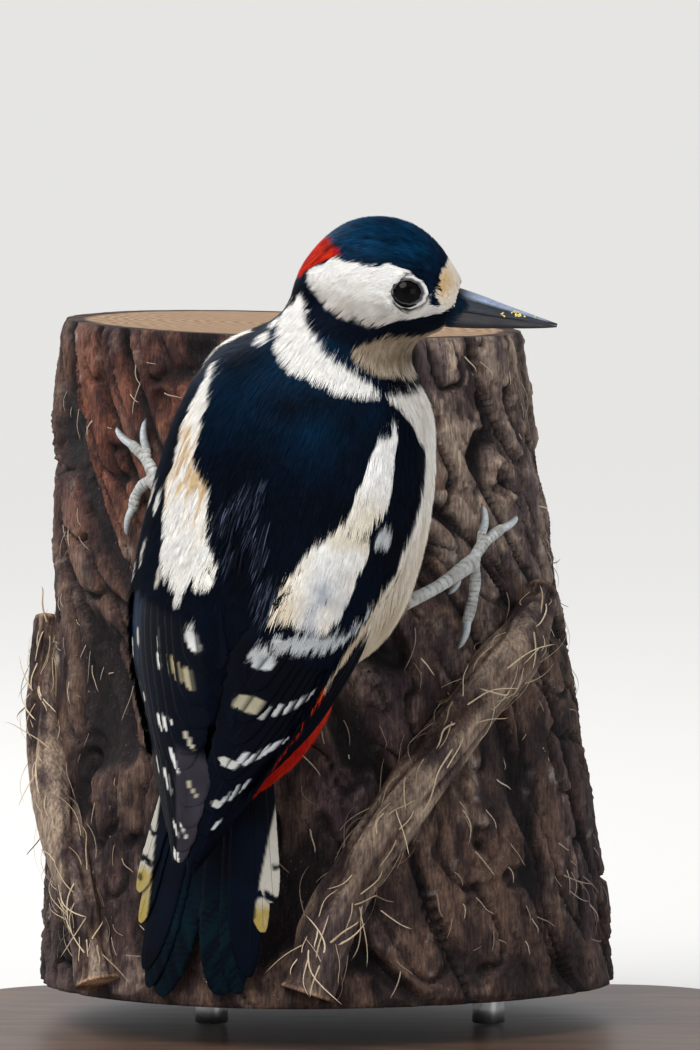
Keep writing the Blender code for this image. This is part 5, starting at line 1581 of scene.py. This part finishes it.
def bark_finish():
    """Rough bark over the mesh's own colours, with a painted highlight where its fine bumps rise, and growth
    rings on the sawn ends.
    """
    f = Finish("bark")
    at = f.place()
    x, y, _ = f.parts(at)
    across, deep = x - LOG_HEAD[0], y - LOG_HEAD[1]
    waves = f.grain(f.place((0.05, 0.05, 0.05)), 1.0, 3.0)
    radius = (across * across + deep * deep) ** 0.5 * (waves * 0.35 + 0.83)
    rings = (radius * 2.1).sine() * 0.5 + 0.5
    saw = f.grain(f.place((0.12, 2.4, 1.0), (0, 0, 0.5)), 1.0, 2.0)
    end = f.mix(rings, (0.24, 0.145, 0.082), (0.40, 0.27, 0.165))
    end = f.mix(saw.rise(0.35, 0.7) * 0.45, end, (0.17, 0.10, 0.058))
    fibre = f.grain(f.place((1.6, 1.6, 0.22)), 1.0, 6.0, 0.62)
    pits = f.grain(at, 1.5, 5.0, 0.65)
    damp = f.grain(f.place((0.10, 0.10, 0.055)), 1.0, 5.0, 0.62).rise(0.40, 0.60)
    bark = f.tinted((0.34, 0.325, 0.36), (1.14, 1.09, 1.05), fibre.rise(0.28, 0.74))
    bark = f.mix(1.0, bark, f.mix(damp, (0.34, 0.30, 0.38), (1.42, 1.38, 1.34)), "MULTIPLY")
    # painted highlight: in the lighter patches the bark turns grey-tan where its fine bumps rise
    bark = f.mix(pits.rise(0.60, 0.78) * damp * 0.5, bark, (0.42, 0.37, 0.32))
    return f.done(Base_Color=f.mix(f.held("wood"), bark, end), Specular_IOR_Level=0.25,
                  Roughness=(0.98 - fibre * 0.35).clamped(0.4, 1.0),
                  Normal=f.bump(fibre * 0.65 + pits * 0.35, 0.75, 0.9))


CLIMBER_BROWN, CLIMBER_TAN = (0.070, 0.048, 0.042), (0.330, 0.265, 0.200)
CLIMBER_CRACK, CLIMBER_BALD, CLIMBER_CUT = (0.050, 0.026, 0.020), (0.40, 0.33, 0.25), (0.34, 0.23, 0.14)


def grow_climber(name, route, seed, finish):
    """A woody climber: twisted fibrous strands on a knotted stem. Gives its points and the ways out of it."""
    middle = np.array([log_point(math.radians(angle), z, radius * 0.4) for angle, z, radius in route])
    count, sides = 190, 64
    rings = tube_rings(middle, [radius * 0.94 for _, _, radius in route], count, sides, (0.0, -1.0, 0.0))
    t = np.linspace(0, 1, count)[:, None]
    turn = (np.arange(sides) * math.tau / sides)[None]
    core = rings.mean(1, keepdims=True)
    out = unit(rings - core)
    length = np.linalg.norm(np.diff(core[:, 0], axis=0), axis=1).sum()
    round_it = lambda size, at, stretch: np.stack(
        np.broadcast_arrays(size * np.cos(at), size * np.sin(at), t * length * stretch), -1)
    at = round_it(7, turn + t * 2.2, 0.20)
    warp = cloud(at, 5.0, seed, 2)[..., None] * 2.2
    cords = 1 - np.abs(cloud(at + warp, 5.0, seed + 3)) * 2.6
    fibres = cloud(at * (1.6, 1.6, 0.5) + warp, 1.6, seed + 5, 2)
    knots = cloud(round_it(3, turn, 1.0), 15.0, seed + 7, 2)
    height = -1.0 * smooth(0.2, 0.9, cords) + 0.42 * fibres + 1.1 * knots
    points = rings + out * (height * smooth(0, 0.02, t) * smooth(1, 0.98, t))[..., None]
    colours = blend(CLIMBER_BROWN, CLIMBER_TAN, 0.45 + 0.45 * fibres + 0.45 * knots)
    colours = blend(colours, CLIMBER_CRACK, smooth(0.1, 0.9, cords) * 0.85)
    colours = blend(colours, CLIMBER_BALD, smooth(0.35, 0.7, cloud(points, 11.0, seed + 9, 2)) * 0.6)
    colours = blend(colours, CLIMBER_CUT, smooth(0.012, 0.004, t) + smooth(0.988, 0.996, t) + 0 * turn)
    made = loft_piece(f"{name}_stem", points, colours, {"wood": np.zeros(count * sides + 2)})
    dress(made, finish, "climber_bark", name)
    return points, out


def fibres_on(places, outs, ways, seed, reach, spread, tones, thick):
    """Loose curling fibres rooted at places: their lines, normals, thicknesses and colours."""
    chance = np.random.default_rng(seed)
    count = len(places)
    pick = lambda low, high: chance.uniform(low, high, (count, 1, 1))
    t = np.linspace(0, 1, FIBRE_STATIONS)[None, :, None]
    side = np.cross(ways, outs)[:, None]
    length = pick(reach * 0.35, reach)
    slant = chance.normal(0, spread, (count, 1, 1))
    curl = chance.normal(0, 0.30, (count, 1, 1))
    wave = np.sin(t * pick(2, 7) + pick(0, 6)) * 0.07
    rise = pick(0.05, 0.30)
    centre = places[:, None] + length * (ways[:, None] * t * np.cos(slant) + side * (
        t * np.sin(slant) + curl * t**2 + wave * t) + outs[:, None] * rise * np.sin(t * 2.4))
    wide = thick * chance.uniform(0.6, 1.4, (count, 1)) * (1 - 0.5 * t[..., 0])
    colours = blend(*tones, chance.random(count))
    return centre, np.broadcast_to(outs[:, None], centre.shape), wide, colours


CLIMBER_FIBRES = (0.30, 0.22, 0.14), (0.52, 0.42, 0.29)
BARK_FIBRES = (0.16, 0.11, 0.08), (0.44, 0.36, 0.27)
FIBRES_EACH, FIBRES_ALL, FIBRE_STATIONS = 150, 420, 9  # tried on each climber and on the trunk


def grow_fibres(stems, finish):
    """Rootlets and torn bark fibres along the climbers and over the trunk."""
    chance = np.random.default_rng(301)
    parts = []
    for k, (points, out) in enumerate(stems):
        rows, sides = points.shape[:2]
        i, j = chance.integers(4, rows - 12, FIBRES_EACH), chance.integers(0, sides, FIBRES_EACH)
        keep = out[i, j, 1] < 0.35
        i, j = i[keep], j[keep]
        ways = unit(points[i + 6, j] - points[i, j]) * np.where(chance.random(len(i)) < 0.6, 1, -1)[:, None]
        parts.append(fibres_on(points[i, j] - out[i, j] * 0.2, out[i, j], ways, 310 + k, 13.0, 0.35,
                               CLIMBER_FIBRES, 0.42))
    angle = chance.uniform(-1.5, 1.5, FIBRES_ALL)
    z = chance.uniform(LOG_BOTTOM + 6, LOG_TOP - 4, FIBRES_ALL)
    rest, _ = contact_places()
    face = log_point(angle, z)
    clear = np.linalg.norm(face[:, None] - rest[None], axis=2).min(1) > 9.0
    keep = clear & (cloud(face, 22.0, 330, 2) > -0.15)
    angle, z, face = angle[keep], z[keep], face[keep]
    out = np.stack((np.sin(angle), -np.cos(angle), 0 * angle), -1)
    height = np.clip(bark_relief(face, angle, z)[0], BARK_LOW, BARK_HIGH)
    ways = unit(np.stack((0.45 * np.cos(angle), 0.45 * np.sin(angle), -np.ones_like(angle)), -1))
    parts.append(fibres_on(face + out * (height - 0.3)[:, None], out, ways, 331, 9.0, 0.5, BARK_FIBRES, 0.36))
    made = strands_piece("bark_fibres", *(np.concatenate(values) for values in zip(*parts)))
    dress(made, finish, "climber_bark")


def slab_rings(width, depth, corner, levels, sides=96):
    """Rings of a slab with rounded corners, one for each (height, inset)."""
    turn = math.tau * (np.arange(sides) + 0.5) / sides
    cx, cy = np.copysign(width / 2 - corner, np.cos(turn)), np.copysign(depth / 2 - corner, np.sin(turn))
    return np.array([np.stack((cx + (corner - inset) * np.cos(turn), cy + (corner - inset) * np.sin(turn),
                               np.full(sides, z)), -1) for z, inset in levels])


def board_finish():
    f = Finish("oiled_board")
    grain = f.grain(f.place((0.035, 0.9, 0.9)), 1.0, 5.0, 0.6, 0.6)
    pores = f.grain(f.place((0.16, 3.2, 3.2)), 1.0, 3.0)
    x, y, _ = f.parts(f.place((0.02, 0.16, 0.16)))
    drift = f.grain(f.place((0.006, 0.022, 0.022)), 1.0, 3.0)
    bands = ((y * 0.5 + drift * 9.0 + grain * 0.9 + x * 0.5) * 4.0).sine() * 0.5 + 0.5
    colour = f.mix(bands * 0.7, (0.052, 0.026, 0.015), (0.130, 0.068, 0.038))
    colour = f.mix(grain.rise(0.3, 0.75) * 0.6, colour, (0.090, 0.047, 0.027))
    colour = f.mix(pores.rise(0.58, 0.70) * 0.7, colour, (0.022, 0.011, 0.007))
    return f.done(Base_Color=colour, Roughness=(grain * 0.25 + 0.30).clamped(0.2, 0.8), Coat_Weight=0.15,
                  Coat_Roughness=0.25, Normal=f.bump(pores * 0.6 + bands * 0.1, 0.12, 0.5))


def rod_finish():
    f = Finish("brushed_rod")
    lines = f.grain(f.place((0.4, 0.4, 14.0)), 1.0, 2.0)
    smear = f.grain(f.place((0.3, 0.3, 0.3)), 1.0, 3.0)
    return f.done(Base_Color=f.mix(lines, (0.44, 0.44, 0.45), (0.62, 0.62, 0.63)), Metallic=1.0,
                  Roughness=(lines * 0.2 + smear * 0.25 + 0.12).clamped(0.1, 0.7),
                  Normal=f.bump(lines, 0.03, 0.5))


def grow_stand():
    """The stand: an oiled dark board with a fine edge, and two brushed rods."""
    high, edge = BASE_HEIGHT, BASE_EDGE
    curve = [(high - edge + edge * math.sin(a), edge - edge * math.cos(a))
             for a in np.linspace(0, math.pi / 2, 6)]
    levels = [(0.0, 1.0), (0.3, 0.3), (1.0, 0.0), *curve, (high, edge + 1.0), (high, 14.0), (high, 30.0)]
    made = loft_piece("board", slab_rings(BASE_WIDTH, BASE_DEPTH, BASE_CORNER, levels), (0.09, 0.05, 0.03))
    dress(made, board_finish(), "stand_wood", "stand_base")
    steel, sides = rod_finish(), 40
    turn = np.arange(sides) * math.tau / sides
    for name, x in (("left", -ROD_SPREAD), ("right", ROD_SPREAD)):
        rings = [np.stack((x + r * np.cos(turn), ROD_BACK + r * np.sin(turn), np.full(sides, z)), -1)
                 for z, r in ROD_LEVELS]
        dress(loft_piece(f"rod_{name}", rings, (0.5, 0.5, 0.5)), steel, "stand_rod", f"stand_rod_{name}")


# The coat's tracts

FLESH = ("head", "neck", "trunk", "thigh_left", "thigh_right")
EYE_OPENING = (3.3, 3.0)  # forward and up, from the eye's middle
WINGS_FROM, COAT_END, RUMP_FROM, RUMP_EDGE = -19, -64, -44, 45  # along the body, and degrees round
SKIN_DEPTH_HEAD, SKIN_DEPTH = 0.9, 1.7
CROWN_FROM = 4.8  # up from the head's middle


def bare_places(points):
    """Places with no feathers: the eye openings, and under the bill's base."""
    forward, up, sideways = head_chart(points)
    wide, high = EYE_OPENING
    eye = (forward - EYE_PLACE[1]) ** 2 / wide**2 + (up - EYE_PLACE[2]) ** 2 / high**2 < 1.0
    bill = (forward > 17.6) & (up < 3.4) & (up > -6.4) & (np.abs(sideways) < 5.2)
    return (eye & (np.abs(sideways) > 8)) | bill


def zones(points):
    """Which part of the coat a place belongs to, as masks."""
    share, _ = neck_chart(points)
    place, angle = body_chart(points)
    head = share > 0.90
    neck = ~head & (share > 0.12)
    body = ~head & ~neck
    inner, outer = ([between([(row[0], row[column]) for row in WINGS[side]], place)[:, 0] for side in SIDES]
                    for column in (3, 4))
    start = np.where(angle > 0, *inner)
    reach = np.minimum(np.where(angle > 0, *outer), breast_edge(place, angle))
    wing = body & (place < WINGS_FROM) & (np.abs(angle) < reach - 3) & (np.abs(angle) > start + 1.5)
    body &= (place > COAT_END) & ((place > RUMP_FROM) | (np.abs(angle) > RUMP_EDGE))
    return {"head": head, "neck": neck, "body": body & ~wing}


def skin_mesh():
    """The skin under the coat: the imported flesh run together, and pressed in by the coat's depth."""
    mesh = soft_union("skin", packed(*FLESH), 1.3, 4)
    form = Form(mesh)
    bpy.data.meshes.remove(mesh)
    depth = np.where(zones(form.points)["head"], SKIN_DEPTH_HEAD, SKIN_DEPTH)
    points = form.points - form.normals * depth[:, None]
    colours, gloss = coat_colours(points, 0.2)
    spot = bake_place(points)
    return mesh_piece("skin", points, [form.faces], colours * 0.75, {"gloss": gloss * 0.6}, spot)


def face_part(points):
    """1 at the bill and the eyes, 0 on the rest of the head."""
    forward, up, sideways = head_chart(points)
    eye = np.hypot(forward - EYE_PLACE[1], up - EYE_PLACE[2])
    return np.maximum(smooth(8, 18, forward), smooth(8.5, 3.2, eye) * (np.abs(sideways) > 6))


def on_crown(points):
    return head_chart(points)[1] > CROWN_FROM


def on_back(points):
    place, angle = body_chart(points)
    return np.abs(angle) < breast_edge(place, angle)


def grow_coat(finish):
    """The small feathers, in pieces: each covers a zone on one side of the bird, or on both."""
    body = soft_union("form", packed(*FLESH, "wing_left", "wing_right"), 1.3, 5)
    form = Form(body)
    bpy.data.meshes.remove(body)
    flat = lambda value: lambda points: np.full(len(points), float(value))
    head_side = lambda points: head_chart(points)[2]
    neck_side, body_side = (lambda points: neck_chart(points)[1]), (lambda points: body_chart(points)[1])
    head_size = {
        "spacing": lambda p: 0.84 - 0.26 * face_part(p), "reach": lambda p: 4.4 - 2.6 * face_part(p),
        "half_width": lambda p: 1.0 - 0.45 * face_part(p), "barb": lambda p: 0.25 - 0.07 * face_part(p),
        "depth": lambda p: 0.9 - 0.35 * face_part(p), "tufts": hair_tufts(3, 24, 24, 0.13, 2), "ragged": 0.3,
    }
    neck_size = {
        "spacing": flat(1.05), "reach": lambda p: 5.0 + 2.5 * (1 - neck_chart(p)[0]), "half_width": flat(1.6),
        "barb": flat(0.28), "depth": flat(1.3), "tufts": hair_tufts(4, 24, 30, 0.14, 2), "lift": flat(0.2),
        "ragged": 0.35,
    }
    back_size = {
        "spacing": flat(1.35), "half_width": flat(1.9), "barb": flat(0.34),
        "reach": lambda p: 7.6 - 3.2 * smooth(-16, -24, body_chart(p)[0]),
        "depth": flat(1.5), "tufts": soft_tufts(5, 24, 34, 0.07), "colour_at": 0.3, "ragged": 0.2,
    }
    breast_size = {
        "spacing": flat(1.65), "reach": flat(8.0), "half_width": flat(2.2), "barb": flat(0.34),
        "depth": flat(1.3), "tufts": hair_tufts(6, 24, 28, 0.15, 2), "lift": flat(0.12), "ragged": 0.3,
    }
    # name, slot, zone, the part of it that is covered, what tells the sides apart, sizes and first seed
    tracts = (
        ("crown", "plumage_head", "head", on_crown, None, head_size, 21),
        ("cheek", "plumage_head", "head", lambda p: ~on_crown(p), head_side, head_size, 22),
        ("neck", "plumage_head", "neck", None, neck_side, neck_size, 31),
        ("back", "plumage_black", "body", on_back, body_side, back_size, 41),
        ("breast", "plumage_buff", "body", lambda p: ~on_back(p), body_side, breast_size, 51),
    )

    def mask(zone, part, across, right):
        def covered(points):
            found = zones(points)[zone] & ~bare_places(points)
            if part is not None:
                found &= part(points)
            if across is not None:
                found &= (across(points) > 0) == right
            return found.astype(float)
        return covered

    for name, slot, zone, part, across, size, seed in tracts:
        for k, side in enumerate(("_right", "_left") if across else ("",)):
            covered = mask(zone, part, across, k == 0)
            tract(f"coat_{name}{side}", form, slot, finish, covered, seed=seed + k, **size)
    wisps = lambda points: (nearest_of(*body_chart(points), WISPS) < WISP_REACH).astype(float)
    tract("coat_wisps", form, "plumage_black", finish, wisps, seed=61, spacing=flat(1.3), reach=flat(9.5),
          half_width=flat(1.5), barb=flat(0.24), depth=flat(1.8), tufts=hair_tufts(7, 12, 14, 0.22, 4),
          lift=flat(0.9), tone=SLATE)


# The studio


def aimed(name, data, where, way):
    """An object of a camera or a lamp, at a place in metres and facing a way."""
    made = bpy.data.objects.new(name, data)
    made.location = where
    made.rotation_euler = Vector(way).to_track_quat("-Z", "Y").to_euler()
    bpy.context.scene.collection.objects.link(made)
    return made


def camera():
    distance, frame_height, sensor = 3.0, 0.25, 36.0  # metres, metres and mm
    data = bpy.data.cameras.new("camera")
    data.sensor_fit, data.sensor_width, data.sensor_height = "VERTICAL", sensor, sensor
    data.lens = sensor * distance / frame_height
    data.clip_start, data.clip_end = 0.05, 60.0
    rise = math.radians(4.0)
    back = Vector((0.0, -math.cos(rise), math.sin(rise)))
    bpy.context.scene.camera = aimed("camera", data, Vector((0.0, -0.074, 0.1408)) + back * distance, -back)


def softbox(name, where, size, watts, colour=(1, 1, 1)):
    """A square lamp that faces the bird."""
    data = bpy.data.lights.new(name, "AREA")
    data.shape, data.size, data.size_y, data.energy, data.color = "RECTANGLE", size, size, watts, colour
    aimed(name, data, where, Vector((0.0, -0.06, 0.13)) - Vector(where))


def studio():
    sun = bpy.data.lights.new("window", "SUN")
    sun.energy, sun.angle, sun.color = 3.2, math.radians(38.0), (1.0, 0.985, 0.96)
    aimed("window", sun, (0, 0, 0), (0.55, 1.0, -1.15))
    softbox("fill", (1.0, -1.3, 0.30), 0.9, 5.0, (0.93, 0.96, 1.0))
    softbox("rim", (-0.7, 0.7, 0.9), 0.6, 7.0)
    world = bpy.data.worlds.new("studio")
    world.use_nodes = True
    world.node_tree.nodes["Background"].inputs["Color"].default_value = (0.86, 0.875, 0.90, 1.0)
    world.node_tree.nodes["Background"].inputs["Strength"].default_value = 0.70
    bpy.context.scene.world = world
    bpy.context.scene.view_settings.view_transform = "Standard"


def floor():
    corners = np.array([(-9000, -9000, 0), (9000, -9000, 0), (9000, 40000, 0), (-9000, 40000, 0)], float)
    made = mesh_piece("floor", corners, [np.array([(0, 1, 2, 3)])])
    made.data.materials.append(Finish("floor_paper").done(Base_Color=(0.595, 0.59, 0.577), Roughness=0.9))


def main():
    camera()
    studio()
    floor()
    coat = coat_finish()
    dress(skin_mesh(), coat, "plumage_head", "head", "neck", "trunk", "thigh_left", "thigh_right")
    grow_coat(coat)
    quill = quill_finish()
    horn = tinted_finish("horn", 0.38, 0.05, 2.2, (0.25, 1.0, 1.0), Specular_IOR_Level=0.32)
    lid = tinted_finish("lid", 0.55, 0.05, 2.5, Specular_IOR_Level=0.4)
    scaled = tinted_finish("scaled_skin", 0.62, 0.06, 2.4, Specular_IOR_Level=0.35)
    eye = tinted_finish("eye", 0.16, 0.0, 1.0, amount=0.1, Coat_Weight=0.10, Coat_Roughness=0.02,
                        Specular_IOR_Level=0.02)

    for side in SIDES:
        grow_wing(side, quill)
        wing_bed(side, coat)
        grow_eye(side, eye, lid)
        grow_leg(side, scaled)
        for toe in LEGS[side]["toes"]:
            grow_claw(side, toe, horn)
    grow_tail(quill)
    for upper in (True, False):
        bill_half(upper, horn)
    bill_dust(horn)
    bristles(coat)
    bark = bark_finish()
    grow_log(bark)
    stems = [grow_climber(name, route, 260 + 20 * k, bark)
             for k, (name, route) in enumerate(CLIMBERS.items())]
    grow_fibres(stems, tinted_finish("fibre", 0.85, 0.05, 1.5))
    grow_stand()
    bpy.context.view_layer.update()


main()
